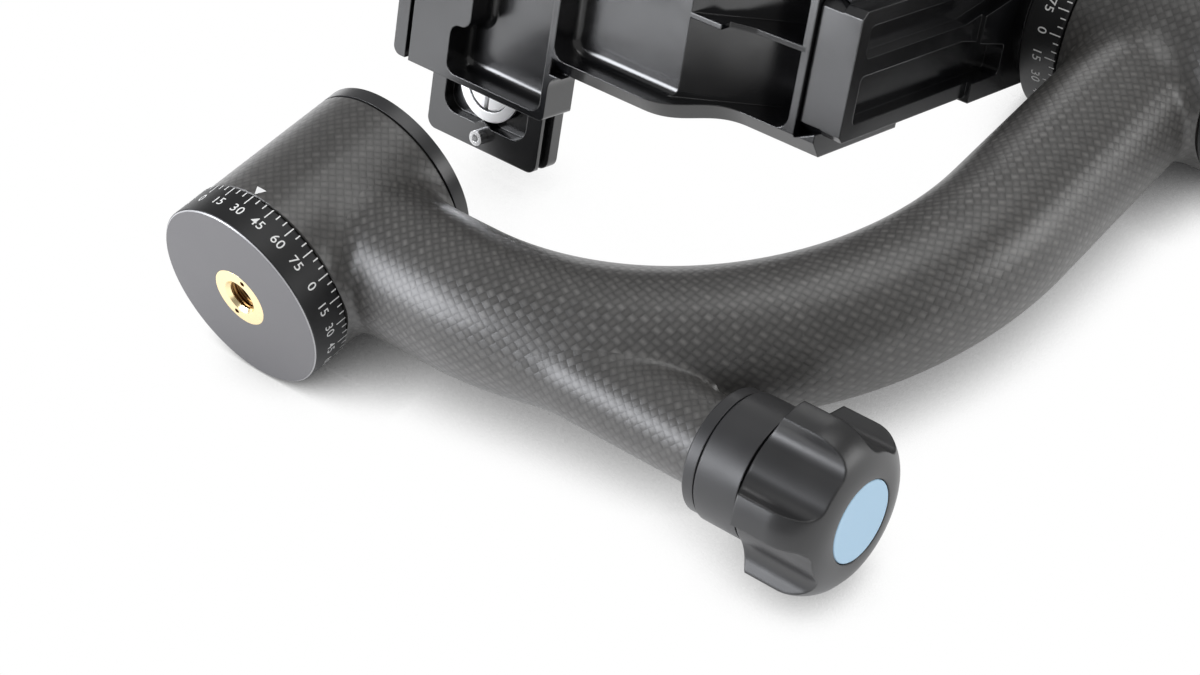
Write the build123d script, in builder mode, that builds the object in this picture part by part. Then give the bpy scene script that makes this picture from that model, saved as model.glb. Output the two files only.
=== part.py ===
"""Gimbal tripod head: a carbon arm between a pan bearing and a tilt bearing, with a hanging cradle.

The head stands upright. The origin is the mouth of the tripod thread, +Z is the pan axis, and the arm
lies in the XZ plane. The cradle hangs from the tilt axis, which runs along X, and is turned to its rest tilt.
Sizes are millimetres.
"""
from build123d import *
import math
import os

os.makedirs("parts", exist_ok=True)

# ---- barrels: pan and tilt share one design, heights are counted from the scale ring's outer face ----
barrel_radius = 25.6
barrel_wall = 2.5
ring_step = 0.4
ring_height = 11.0
barrel_length = 40.9
joint_gap = 0.4
seal_height = 0.4
cap_side_height = 3.7
cap_height = 5.1
cap_slope = 2.5
edge_break = 0.5

# ---- spindles and bearings (17 x 35 x 10 deep-groove bearings) ----
bearing_bore_radius = 8.5
bearing_outer_radius = 17.5
bearing_width = 10.0
inner_race_wall = 2.8
outer_race_wall = 2.9
liner_inset = 0.5
liner_drop = 0.4
liner_thread_wall = 2.5
cap_roof_height = 2.4
ball_radius = 2.4
ball_count = 9
cage_wall = 1.2
cage_width = 6.4
spindle_flange_radius = 19.0
spindle_flange_height = 3.0
spindle_shoulder_radius = 10.5
spindle_shoulder_height = 1.2
spindle_bore_radius = 4.5
spindle_tip = 0.5
drum_length = 14.0
drum_radius = 13.5
spacer_radius = 11.0
spacer_shoulder = 0.5
nut_radius = 12.5
nut_height = 3.6
nut_slot_width = 3.0
nut_slot_depth = 1.5
nut_slots = 4
flange_screw_count = 4
flange_screw_circle = 15.0
flange_screw_angle = 45.0
screw_radius = 1.5
screw_head_radius = 2.8
screw_head_height = 1.6
screw_length = 7.0
key_radius = 1.2
key_depth = 1.0
running_gap = 0.05
bond_gap = 0.03
play = 0.3

# ---- tripod thread bush, 3/8 inch ----
thread_radius = 3.97
thread_mouth_radius = 4.95
bush_flange_radius = 8.2
bush_flange_height = 1.2
bush_radius = 6.5
bush_length = 14.0
spanner_hole_radius = 0.7
spanner_hole_circle = 6.5
spanner_hole_depth = 1.0
spanner_hole_angle = -66.0

# ---- carbon arm ----
arm_axis_drop = 0.4
arm_straight = 46.7
arm_bend_radius = 94.3
tube_radius = 18.5
tube_wall = 3.0
tube_flare_side = 23.2
tube_flare_height = 19.4
tube_flare_length = 40.0
tube_flare_start = 8.0
tube_bore_start = 27.0
tube_lap = 12.0
tilt_height = 205.2
branch_axis_height = 27.7
branch_radius = 11.1
branch_bore_radius = 8.0
branch_end = 130.0

# ---- lock knobs ----
knob_radius = 22.0
knob_core_radius = 16.3
knob_length = 22.0
knob_rake = 2.6
knob_shoulder = 11.0
knob_flutes = 5
knob_flute_phase = 207.5
knob_lobe_half_width = 3.9
knob_root_round = 5.0
knob_edge_round = 1.5
knob_disc_radius = 10.2
knob_disc_height = 0.9
knob_disc_gap = 0.25
knob_dome_land = 1.4
knob_clearance = 0.8
disc_edge_drop = 0.2
cap_edge = 1.4
collar_radius = 16.0
collar_length = 12.0
collar_ring_radius = 15.5
collar_ring_length = 3.4
collar_groove = 0.4
collar_spigot = 12.0
stem_radius = 4.0
insert_radius = 6.0
insert_length = 9.0
lock_travel = 0.5
brake_clearance = 0.1
shoe_radius = 5.0
shoe_length = 6.4
tilt_collar_length = 9.6
brake_disc_radius = 14.0
brake_disc_height = 2.0
brake_disc_lip = 1.1

# ---- cradle: heights are counted down from the tilt axis, lengths run along the lens plate ----
rest_tilt = -22.0
swing_gap = 4.55
swing_thickness = 5.7
swing_half_width = 17.0
swing_foot = 98.6
swing_hub_start = 41.0
swing_hub_half_width = 18.3
swing_hub_step = 1.5
swing_boss_radius = 20.0
swing_pocket_depth = 3.6
swing_pocket_low = 94.0
swing_pocket_high = 28.0
swing_rib_half_width = 2.3
swing_rib_shift = -2.0
swing_pocket_side = 12.8
swing_foot_bevel = 1.8
swing_pocket_round = 1.5
swing_rib_top = 6.5
swing_rib_widens = 48.0
rail_depth = 6.1
rail_neck_half_width = 16.0
rail_wide_half_width = 19.0
rail_end_bevel = 4.0
rail_top = 45.0
rail_gap = 0.1
hub_screw_circle = 13.0
hub_screw_radius = 2.5
hub_screw_head_radius = 4.4
hub_screw_head_height = 4.4
hub_screw_length = 13.5
hub_screw_count = 4

bracket_half_width = 23.0
bracket_rim = 4.5
bracket_bevel = 3.5
bracket_low = 115.5
bracket_foot = 100.0
bracket_floor = 107.0
bracket_deck = 104.5
bracket_curve_start = 56.0
bracket_curve_back = 21.9
leg_thickness = 12.2
leg_top = 62.0
skin_thickness = 3.0
skin_rise = 26.5
leg_wall = 2.2
rib_half_width = 0.7
rib_centre = -3.3
rib_low = 103.5
rib_step_back = 27.9
rib_bend_back = 21.4
rib_bend_height = 101.0
floor_round = 2.2

clamp_half_length = 36.3
clamp_end_round = 1.6
clamp_left = 19.7
clamp_right = 27.8
clamp_bevel_width = 4.3
clamp_top = 100.1
clamp_pocket_left = 6.3
clamp_pocket_right = 26.0
clamp_pocket_half_length = 34.5
clamp_boss_half_width = 21.0
clamp_pocket_radius = 3.0
clamp_corner_radius = 4.0
web_pocket_left = 28.0
web_pocket_radius = 4.0
jaw_outer = 25.2
jaw_gap = 1.3
jaw_half_length = 36.0
pin_radius = 2.0
pin_spacing = 48.0
pin_depth = 12.0
pin_seat = 3.0
clamp_screw_height = 110.0
clamp_screw_radius = 3.0
clamp_screw_depth = 16.0
small_knob_radius = 15.0
small_knob_core_radius = 11.4
small_knob_length = 17.0
small_knob_disc_radius = 6.8
small_stem_seat = 8.0
washer_gap = 0.4
jaw_step = 0.3
jaw_bevel = 2.2
jaw_end_round = 2.5

# ---- lens plate ----
plate_bottom = 104.8
plate_half_width = 19.5
plate_half_length = 57.3
plate_thickness = 8.6
plate_foot = 1.2
plate_slope = 3.2
plate_corner = 3.0
plate_fit = 0.1
plate_groove_height = 0.6
recess_half_width = 14.5
recess_half_length = 50.4
recess_depth = 3.4
recess_corner = 4.5
slot_half_length = 45.0
camera_screw_radius = 3.175
camera_screw_reach = 5.5
camera_screw_place = 38.6
camera_shank_radius = 2.4
camera_shank_rise = 0.5
camera_head_radius = 7.2
camera_head_height = 2.4
fold_ring_radius = 10.4
fold_ring_hole = 7.5
fold_ring_height = 1.4
fold_ring_round = 0.3
fold_pin_radius = 0.5
fold_pin_depth = 1.2
camera_slot_width = 1.4
camera_slot_depth = 1.2
clip_radius = 6.4
clip_height = 0.6
stop_place = 53.3
stop_screw_radius = 1.5
stop_head_radius = 2.1
stop_head_height = 2.6
stop_screw_depth = 4.0
stop_key_radius = 1.1
stop_boss_radius = 4.1

# ---- height lock ----
gib_thin_edge = 1.0
gib_length = 30.0
gib_travel = 0.15
gib_inset = 3.3
height_knob_radius = 9.0
height_knob_core_radius = 6.8
height_knob_length = 11.0
height_knob_disc_radius = 4.0
height_stem_seat = 5.0
height_knob_height = 80.0
height_stem_radius = 2.5


# ---- sizes that follow from others ----
ring_radius = barrel_radius + ring_step
arm_axis_height = ring_height + joint_gap + barrel_length / 2 - arm_axis_drop
tilt_ring_face = arm_straight + arm_bend_radius - ring_height - joint_gap - barrel_length / 2
swing_outer = tilt_ring_face - swing_gap
swing_inner = swing_outer - swing_thickness
gib_middle = swing_inner - gib_inset
bracket_curve_end = swing_inner - bracket_curve_back
rib_step = swing_inner - rib_step_back
rib_bend = swing_inner - rib_bend_back

# ---- frames ----
pan = Plane.XY
tilt = Plane(origin=(tilt_ring_face, 0, tilt_height), x_dir=(0, 1, 0), z_dir=(1, 0, 0))
rest_angle = math.radians(rest_tilt)
cradle_frame = Plane(
    origin=(0, 0, tilt_height), x_dir=(1, 0, 0), z_dir=(0, -math.sin(rest_angle), math.cos(rest_angle))
)
cradle_up = Vector(0, -math.sin(rest_angle), math.cos(rest_angle))


def in_frame(frame, plane):
    """A plane that is given in the frame's own coordinates."""
    return Plane(frame.location * plane.location)


def side_plane(frame):
    """The plane through the frame's Z axis: its x is the radius and its y the height."""
    return Plane(origin=frame.origin, x_dir=frame.x_dir, z_dir=frame.y_dir * -1)


def centre_line(frame):
    return Axis(frame.origin, frame.z_dir)


def turning(frame, *corners):
    """A closed outline of (radius, height) corners beside the frame's Z axis."""
    with BuildSketch(side_plane(frame)) as outline:
        with BuildLine():
            Polyline(*corners, close=True)
        make_face()
    return outline.sketch


def band(frame, inner, outer, low, high):
    """The section of a plain ring or, with no inner radius, of a plain disc."""
    return turning(frame, (inner, low), (outer, low), (outer, high), (inner, high))


def save(piece, label):
    piece.part.label = label
    export_step(piece.part, f"parts/{label}.step")


# ---- heights shared by both barrels ----
barrel_start = ring_height + joint_gap
barrel_end = barrel_start + barrel_length
flange_low = ring_height - spindle_flange_height
lower_bearing = ring_height + spindle_shoulder_height
lower_bearing_end = lower_bearing + bearing_width
upper_bearing = lower_bearing_end + drum_length
upper_bearing_end = upper_bearing + bearing_width
nut_top = upper_bearing_end + nut_height
spindle_top = nut_top + spindle_tip
cap_base = barrel_end + seal_height
cap_top = cap_base + cap_height
barrel_bore_radius = barrel_radius - barrel_wall
liner_radius = barrel_bore_radius - bond_gap
liner_bore_radius = bearing_outer_radius - outer_race_wall / 2
liner_mouth_radius = bearing_outer_radius + liner_thread_wall
cap_skirt_radius = liner_mouth_radius - running_gap
cap_skirt_bore = bearing_outer_radius - outer_race_wall / 2
cap_roof = cap_base + cap_roof_height
liner_low = barrel_start + liner_inset
liner_high = barrel_end - liner_drop
inner_race_radius = bearing_bore_radius + inner_race_wall
outer_race_bore = bearing_outer_radius - outer_race_wall
ball_circle = (inner_race_radius + outer_race_bore) / 2
groove_radius = ball_radius + running_gap
brake_gap = lock_travel + brake_clearance
gib_room = gib_travel + running_gap


def races(frame, label, low):
    """The inner and outer race of one bearing, each with the ball groove turned into it."""
    groove = Plane(
        origin=frame.origin + frame.z_dir * (low + bearing_width / 2) + frame.x_dir * ball_circle,
        x_dir=frame.x_dir,
        z_dir=frame.y_dir * -1,
    )
    with BuildSketch(groove) as groove_section:
        Circle(groove_radius)
    with BuildPart() as inner:
        revolve(
            band(frame, bearing_bore_radius + bond_gap, inner_race_radius, low, low + bearing_width),
            axis=centre_line(frame),
        )
        revolve(groove_section.sketch, axis=centre_line(frame), mode=Mode.SUBTRACT)
    save(inner, f"{label}_inner_race")
    with BuildPart() as outer:
        revolve(
            band(frame, outer_race_bore, bearing_outer_radius - bond_gap, low, low + bearing_width),
            axis=centre_line(frame),
        )
        revolve(groove_section.sketch, axis=centre_line(frame), mode=Mode.SUBTRACT)
    save(outer, f"{label}_outer_race")


def balls_and_cages(frame, label):
    """The balls of both bearings as one node, and their two cages as another."""
    middles = [lower_bearing + bearing_width / 2, upper_bearing + bearing_width / 2]
    with BuildPart() as balls:
        for middle in middles:
            with Locations(in_frame(frame, Plane.XY.offset(middle))):
                with PolarLocations(ball_circle, ball_count):
                    Sphere(ball_radius)
    save(balls, f"{label}_bearing_balls")
    with BuildPart() as cages:
        for middle in middles:
            revolve(
                band(
                    frame,
                    ball_circle - cage_wall / 2,
                    ball_circle + cage_wall / 2,
                    middle - cage_width / 2,
                    middle + cage_width / 2,
                ),
                axis=centre_line(frame),
            )
            with Locations(in_frame(frame, Plane.XY.offset(middle))):
                with PolarLocations(ball_circle, ball_count):
                    Cylinder(
                        groove_radius,
                        2 * ball_radius,
                        rotation=(0, 90, 0),
                        mode=Mode.SUBTRACT,
                    )
    save(cages, f"{label}_bearing_cages")


def spindle(frame, label, tail_bore, tail_depth):
    """A flanged spindle: countersunk flange, bearing shoulder, journal and a stepped bore."""
    with BuildPart() as shaft:
        revolve(
            turning(
                frame,
                (spindle_bore_radius, flange_low),
                (spindle_flange_radius, flange_low),
                (spindle_flange_radius, ring_height),
                (spindle_shoulder_radius, ring_height),
                (spindle_shoulder_radius, lower_bearing),
                (bearing_bore_radius, lower_bearing),
                (bearing_bore_radius, spindle_top - edge_break),
                (bearing_bore_radius - edge_break, spindle_top),
                (spindle_bore_radius, spindle_top),
            ),
            axis=centre_line(frame),
        )
        revolve(
            band(frame, 0, tail_bore, flange_low, flange_low + tail_depth),
            axis=centre_line(frame),
            mode=Mode.SUBTRACT,
        )
        with Locations(in_frame(frame, Plane.XY.offset(ring_height))):
            with PolarLocations(flange_screw_circle, flange_screw_count, start_angle=flange_screw_angle):
                Cylinder(
                    screw_head_radius + running_gap,
                    screw_head_height,
                    align=(Align.CENTER, Align.CENTER, Align.MAX),
                    mode=Mode.SUBTRACT,
                )
                Cylinder(
                    screw_radius + running_gap,
                    spindle_flange_height,
                    align=(Align.CENTER, Align.CENTER, Align.MAX),
                    mode=Mode.SUBTRACT,
                )
    save(shaft, f"{label}_spindle")


def flange_screws(frame, label):
    with BuildPart() as screws:
        with Locations(in_frame(frame, Plane.XY.offset(ring_height))):
            with PolarLocations(flange_screw_circle, flange_screw_count, start_angle=flange_screw_angle):
                Cylinder(
                    screw_head_radius,
                    screw_head_height,
                    align=(Align.CENTER, Align.CENTER, Align.MAX),
                )
                Cylinder(
                    screw_radius,
                    screw_length,
                    align=(Align.CENTER, Align.CENTER, Align.MAX),
                )
                Cylinder(
                    key_radius,
                    key_depth,
                    align=(Align.CENTER, Align.CENTER, Align.MAX),
                    mode=Mode.SUBTRACT,
                )
    save(screws, f"{label}_flange_screws")


def flange_screw_holes(frame):
    """The tapped holes for the flange screws, as one solid to cut from a scale ring."""
    with BuildPart() as holes:
        with Locations(in_frame(frame, Plane.XY.offset(flange_low))):
            with PolarLocations(flange_screw_circle, flange_screw_count, start_angle=flange_screw_angle):
                Cylinder(
                    screw_radius + running_gap,
                    screw_length - spindle_flange_height + play,
                    align=(Align.CENTER, Align.CENTER, Align.MAX),
                )
    return holes.part


def spindle_nut(frame, label):
    with BuildPart() as nut:
        revolve(
            band(frame, bearing_bore_radius + bond_gap, nut_radius, upper_bearing_end, nut_top),
            axis=centre_line(frame),
        )
        with Locations(in_frame(frame, Plane.XY.offset((upper_bearing_end + nut_top) / 2))):
            with PolarLocations(nut_radius, nut_slots):
                Box(2 * nut_slot_depth, nut_slot_width, nut_height, mode=Mode.SUBTRACT)
    save(nut, f"{label}_spindle_nut")


def spacer(frame, label, radius):
    """The sleeve that holds the two inner races apart."""
    with BuildPart() as sleeve:
        revolve(
            turning(
                frame,
                (bearing_bore_radius + bond_gap, lower_bearing_end),
                (spindle_shoulder_radius, lower_bearing_end),
                (spindle_shoulder_radius, lower_bearing_end + spacer_shoulder),
                (radius, lower_bearing_end + spacer_shoulder),
                (radius, upper_bearing - spacer_shoulder),
                (spindle_shoulder_radius, upper_bearing - spacer_shoulder),
                (spindle_shoulder_radius, upper_bearing),
                (bearing_bore_radius + bond_gap, upper_bearing),
            ),
            axis=centre_line(frame),
        )
    save(sleeve, label)


def liner_section(frame):
    """The bearing liner: two seats with a shoulder between them and a threaded mouth."""
    return turning(
        frame,
        (bearing_outer_radius, liner_low),
        (liner_radius, liner_low),
        (liner_radius, liner_high),
        (liner_mouth_radius, liner_high),
        (liner_mouth_radius, upper_bearing_end),
        (bearing_outer_radius, upper_bearing_end),
        (bearing_outer_radius, upper_bearing),
        (liner_bore_radius, upper_bearing),
        (liner_bore_radius, lower_bearing_end),
        (bearing_outer_radius, lower_bearing_end),
    )


def seal(frame, label):
    with BuildPart() as gasket:
        revolve(
            band(frame, liner_mouth_radius + play, barrel_radius - edge_break, barrel_end, cap_base),
            axis=centre_line(frame),
        )
    save(gasket, label)


def knob(frame, label, radius, core_radius, length, disc_radius, stem, stem_depth):
    """A domed knob with five flutes along it, and the flush disc that covers its front.

    The frame's origin is the middle of the knob's back, and its Z axis points out of the front.
    """
    share = length / knob_length
    shoulder = knob_shoulder * share
    dome_edge = disc_radius + knob_dome_land
    size = radius / knob_radius
    with BuildSketch(side_plane(frame)) as half:
        with BuildLine():
            Polyline(
                (dome_edge, length),
                (0, length),
                (0, 0),
                (core_radius, 0),
                (radius, knob_rake * share),
                (radius, shoulder),
            )
            ThreePointArc(
                (radius, shoulder),
                (
                    dome_edge + (radius - dome_edge) * math.sqrt(0.5),
                    shoulder + (length - shoulder) * math.sqrt(0.5),
                ),
                (dome_edge, length),
            )
        make_face()
    with BuildPart() as body:
        revolve(half.sketch, axis=centre_line(frame))
        with BuildSketch(frame) as star:
            Circle(core_radius)
            with PolarLocations(0, knob_flutes, start_angle=knob_flute_phase + 180 / knob_flutes):
                Rectangle(
                    radius + knob_edge_round / 3,
                    2 * knob_lobe_half_width * size,
                    align=(Align.MIN, Align.CENTER),
                )
            corners = star.vertices().group_by(lambda corner: round(Vector(corner).length))
            fillet(corners[0], knob_root_round * size)
            corners = star.vertices().group_by(lambda corner: round(Vector(corner).length))
            fillet(corners[-1], knob_edge_round * size)
        extrude(amount=length, mode=Mode.INTERSECT)
        revolve(
            band(frame, 0, disc_radius + knob_disc_gap, length - knob_disc_height, length),
            axis=centre_line(frame),
            mode=Mode.SUBTRACT,
        )
        revolve(
            band(frame, 0, stem + bond_gap, 0, stem_depth),
            axis=centre_line(frame),
            mode=Mode.SUBTRACT,
        )
    with BuildPart() as disc:
        revolve(
            turning(
                frame,
                (0, length - knob_disc_height),
                (disc_radius, length - knob_disc_height),
                (disc_radius, length - disc_edge_drop),
                (disc_radius - disc_edge_drop, length),
                (0, length),
            ),
            axis=centre_line(frame),
        )
    save(disc, f"{label}_disc")
    return body


def rod(frame, label, radius, low, high):
    """A plain round rod with its far end broken, along the frame's Z axis."""
    with BuildPart() as stem:
        revolve(
            turning(
                frame,
                (0, low),
                (radius - edge_break, low),
                (radius, low + edge_break),
                (radius, high - edge_break),
                (radius - edge_break, high),
                (0, high),
            ),
            axis=centre_line(frame),
        )
    save(stem, label)


def lock_knob(frame, label, stem_low):
    """The full-size knob with its cover disc, threaded insert and stem."""
    body = knob(
        frame,
        label,
        knob_radius,
        knob_core_radius,
        knob_length,
        knob_disc_radius,
        insert_radius,
        insert_length,
    )
    save(body, label)
    with BuildPart() as insert:
        revolve(
            band(frame, stem_radius + bond_gap, insert_radius, 0, insert_length),
            axis=centre_line(frame),
        )
    save(insert, f"{label}_insert")
    rod(frame, f"{label}_stem", stem_radius, stem_low, insert_length)


# ================ pan base: everything that stays on the tripod ================
with BuildPart() as base_disc:
    revolve(
        turning(
            pan,
            (bush_radius, 0),
            (ring_radius - edge_break, 0),
            (ring_radius, edge_break),
            (ring_radius, ring_height - edge_break),
            (ring_radius - edge_break, ring_height),
            (spindle_flange_radius + bond_gap, ring_height),
            (spindle_flange_radius + bond_gap, flange_low),
            (bush_radius, flange_low),
        ),
        axis=Axis.Z,
    )
    revolve(
        band(pan, 0, bush_flange_radius + bond_gap, 0, bush_flange_height),
        axis=Axis.Z,
        mode=Mode.SUBTRACT,
    )
    add(flange_screw_holes(pan), mode=Mode.SUBTRACT)
save(base_disc, "base_disc")

with BuildPart() as thread_bush:
    revolve(
        turning(
            pan,
            (thread_mouth_radius, 0),
            (bush_flange_radius, 0),
            (bush_flange_radius, bush_flange_height),
            (bush_radius - bond_gap, bush_flange_height),
            (bush_radius - bond_gap, bush_length),
            (thread_radius, bush_length),
            (thread_radius, thread_mouth_radius - thread_radius),
        ),
        axis=Axis.Z,
    )
    with Locations(Plane.XY):
        with PolarLocations(spanner_hole_circle, 2, start_angle=spanner_hole_angle):
            Cylinder(
                spanner_hole_radius,
                spanner_hole_depth,
                align=(Align.CENTER, Align.CENTER, Align.MIN),
                mode=Mode.SUBTRACT,
            )
save(thread_bush, "thread_bush")

spindle(pan, "pan", bush_radius + running_gap, bush_length - flange_low + play)
flange_screws(pan, "pan")
races(pan, "pan_lower", lower_bearing)
races(pan, "pan_upper", upper_bearing)
balls_and_cages(pan, "pan")
spacer(pan, "pan_brake_drum", drum_radius)
spindle_nut(pan, "pan")

# ================ arm: one moulded carbon shell ================
arm_end_x = arm_straight + arm_bend_radius
lock_axis = Plane(origin=(0, 0, branch_axis_height), x_dir=(0, 1, 0), z_dir=(1, 0, 0))


def arm_path(start):
    """The middle line of the tube: straight out of the pan barrel, one bend, then up to the tilt barrel."""
    with BuildLine(Plane.XZ) as path:
        run = Line((start, arm_axis_height), (arm_straight, arm_axis_height))
        bend = RadiusArc(
            run @ 1,
            (arm_end_x, arm_axis_height + arm_bend_radius),
            -arm_bend_radius,
        )
        Line(bend @ 1, (arm_end_x, tilt_height - tube_lap))
    return path.wires()[0]


with BuildSketch(Plane.YZ.offset(tube_flare_start)) as flare_root:
    with Locations((0, arm_axis_height)):
        Ellipse(tube_flare_side, tube_flare_height)
with BuildSketch(Plane.YZ.offset(tube_flare_length)) as flare_tip:
    with Locations((0, arm_axis_height)):
        Circle(tube_radius)
with BuildSketch(Plane.YZ.offset(tube_flare_length)) as tube_section:
    with Locations((0, arm_axis_height)):
        Circle(tube_radius)
with BuildSketch(Plane.YZ.offset(tube_bore_start)) as tube_bore_section:
    with Locations((0, arm_axis_height)):
        Circle(tube_radius - tube_wall)

with BuildPart() as arm_shell:
    revolve(band(pan, 0, barrel_radius, barrel_start, barrel_end), axis=Axis.Z)
    revolve(band(tilt, 0, barrel_radius, barrel_start, barrel_end), axis=centre_line(tilt))
    loft([flare_root.sketch.face(), flare_tip.sketch.face()])
    sweep(tube_section.sketch, path=arm_path(tube_flare_length))
    revolve(band(lock_axis, 0, branch_radius, arm_straight, branch_end), axis=centre_line(lock_axis))
    sweep(tube_bore_section.sketch, path=arm_path(tube_bore_start), mode=Mode.SUBTRACT)
    revolve(
        band(lock_axis, 0, branch_bore_radius, arm_end_x / 2, branch_end),
        axis=centre_line(lock_axis),
        mode=Mode.SUBTRACT,
    )
    revolve(
        band(lock_axis, 0, shoe_radius + play, liner_bore_radius, tube_bore_start),
        axis=centre_line(lock_axis),
        mode=Mode.SUBTRACT,
    )
    revolve(
        band(pan, 0, barrel_bore_radius, barrel_start, barrel_end),
        axis=Axis.Z,
        mode=Mode.SUBTRACT,
    )
    revolve(
        band(tilt, 0, barrel_bore_radius, barrel_start, barrel_end),
        axis=centre_line(tilt),
        mode=Mode.SUBTRACT,
    )
save(arm_shell, "arm_shell")

with BuildPart() as pan_liner:
    revolve(liner_section(pan), axis=Axis.Z)
    revolve(
        band(lock_axis, 0, shoe_radius + running_gap, 0, barrel_radius),
        axis=centre_line(lock_axis),
        mode=Mode.SUBTRACT,
    )
save(pan_liner, "pan_liner")

seal(pan, "pan_cap_seal")
with BuildPart() as pan_cap:
    revolve(
        turning(
            pan,
            (0, cap_roof),
            (cap_skirt_bore, cap_roof),
            (cap_skirt_bore, upper_bearing_end),
            (cap_skirt_radius, upper_bearing_end),
            (cap_skirt_radius, cap_base),
            (barrel_radius, cap_base),
            (barrel_radius, cap_base + cap_side_height),
            (barrel_radius - cap_slope, cap_top),
            (0, cap_top),
        ),
        axis=Axis.Z,
    )
save(pan_cap, "pan_cap")

# ---- pan lock: collar, knob, stem and the shoe that grips the drum ----
collar_start = branch_end + collar_ring_length
collar_end = collar_start + collar_length
with BuildPart() as pan_collar_ring:
    revolve(
        turning(
            lock_axis,
            (branch_bore_radius + bond_gap, branch_end),
            (collar_ring_radius - edge_break, branch_end),
            (collar_ring_radius, branch_end + edge_break),
            (collar_ring_radius, collar_start),
            (branch_bore_radius + bond_gap, collar_start),
        ),
        axis=centre_line(lock_axis),
    )
save(pan_collar_ring, "pan_collar_ring")

with BuildPart() as pan_lock_collar:
    revolve(
        turning(
            lock_axis,
            (stem_radius + running_gap, branch_end - collar_spigot),
            (branch_bore_radius - bond_gap, branch_end - collar_spigot),
            (branch_bore_radius - bond_gap, collar_start),
            (collar_ring_radius - collar_groove, collar_start),
            (collar_ring_radius - collar_groove, collar_start + collar_groove),
            (collar_radius - collar_groove, collar_start + collar_groove),
            (collar_radius, collar_start + 2 * collar_groove),
            (collar_radius, collar_end),
            (stem_radius + running_gap, collar_end),
        ),
        axis=centre_line(lock_axis),
    )
save(pan_lock_collar, "pan_lock_collar")

shoe_tip = drum_radius + brake_gap
shoe_back = shoe_tip + shoe_length
with BuildPart() as pan_brake_shoe:
    revolve(band(lock_axis, 0, shoe_radius, drum_radius / 2, shoe_back), axis=centre_line(lock_axis))
    revolve(
        band(pan, 0, shoe_tip, lower_bearing, upper_bearing_end),
        axis=Axis.Z,
        mode=Mode.SUBTRACT,
    )
save(pan_brake_shoe, "pan_brake_shoe")

pan_knob_back = collar_end + knob_clearance
pan_knob_frame = in_frame(lock_axis, Plane.XY.offset(pan_knob_back))
lock_knob(pan_knob_frame, "pan_knob", shoe_back - pan_knob_back)

# ---- tilt barrel: liner, cap with its collar, brake disc and knob ----
with BuildPart() as tilt_liner:
    revolve(liner_section(tilt), axis=centre_line(tilt))
save(tilt_liner, "tilt_liner")

seal(tilt, "tilt_cap_seal")
tilt_collar_start = cap_base + cap_side_height
tilt_collar_end = tilt_collar_start + tilt_collar_length
with BuildPart() as tilt_cap:
    revolve(
        turning(
            tilt,
            (stem_radius + running_gap, cap_roof),
            (cap_skirt_bore, cap_roof),
            (cap_skirt_bore, upper_bearing_end),
            (cap_skirt_radius, upper_bearing_end),
            (cap_skirt_radius, cap_base),
            (barrel_radius, cap_base),
            (barrel_radius, tilt_collar_start - cap_edge),
            (barrel_radius - cap_edge, tilt_collar_start),
            (collar_radius, tilt_collar_start),
            (collar_radius, tilt_collar_end),
            (stem_radius + running_gap, tilt_collar_end),
        ),
        axis=centre_line(tilt),
    )
save(tilt_cap, "tilt_cap")

brake_disc_low = spindle_top + brake_gap
brake_disc_top = brake_disc_low + brake_disc_height
with BuildPart() as tilt_brake_disc:
    revolve(
        turning(
            tilt,
            (0, brake_disc_low),
            (brake_disc_radius - edge_break, brake_disc_low),
            (brake_disc_radius, brake_disc_low + edge_break),
            (brake_disc_radius, brake_disc_top - brake_disc_lip),
            (brake_disc_radius / 2, brake_disc_top),
            (0, brake_disc_top),
        ),
        axis=centre_line(tilt),
    )
save(tilt_brake_disc, "tilt_brake_disc")

tilt_knob_back = tilt_collar_end + knob_clearance
tilt_knob_frame = in_frame(tilt, Plane.XY.offset(tilt_knob_back))
lock_knob(tilt_knob_frame, "tilt_knob", brake_disc_top - tilt_knob_back)

# ---- tilt spindle side, which turns with the cradle ----
with BuildPart() as tilt_scale_ring:
    revolve(
        turning(
            tilt,
            (hub_screw_radius * 2, 0),
            (ring_radius - edge_break, 0),
            (ring_radius, edge_break),
            (ring_radius, ring_height - edge_break),
            (ring_radius - edge_break, ring_height),
            (spindle_flange_radius + bond_gap, ring_height),
            (spindle_flange_radius + bond_gap, flange_low),
            (hub_screw_radius * 2, flange_low),
        ),
        axis=centre_line(tilt),
    )
    add(flange_screw_holes(tilt), mode=Mode.SUBTRACT)
    with Locations(tilt):
        with PolarLocations(hub_screw_circle, hub_screw_count, start_angle=rest_tilt):
            Cylinder(
                hub_screw_radius + running_gap,
                flange_low,
                align=(Align.CENTER, Align.CENTER, Align.MIN),
                mode=Mode.SUBTRACT,
            )
save(tilt_scale_ring, "tilt_scale_ring")

spindle(tilt, "tilt", spindle_bore_radius, spindle_flange_height)
flange_screws(tilt, "tilt")
races(tilt, "tilt_inner_end", lower_bearing)
races(tilt, "tilt_outer_end", upper_bearing)
balls_and_cages(tilt, "tilt")
spacer(tilt, "tilt_spacer", spacer_radius)
spindle_nut(tilt, "tilt")

# ================ cradle: swing arm hanging from the tilt axis ================
hub_face = swing_outer + swing_hub_step
hub_screw_start = swing_inner - tilt_ring_face
rail_slope = (rail_wide_half_width - rail_neck_half_width) / rail_depth


def cradle_side():
    """The cradle's side view: X across and up along the cradle."""
    return in_frame(cradle_frame, Plane.XZ)


def cradle_wall(across):
    """A plane that faces the arm: along the lens plate and up."""
    return in_frame(cradle_frame, Plane.YZ.offset(across))


def cradle_level(height):
    """A plane like the lens plate's, this far below the tilt axis: X across and Y along the plate."""
    return in_frame(cradle_frame, Plane.XY.offset(-height))


def rail_side(across, clearance):
    """Half the width of the dovetail rail at this X, with a clearance added."""
    return rail_neck_half_width + (swing_inner - across) * rail_slope + clearance


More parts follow.
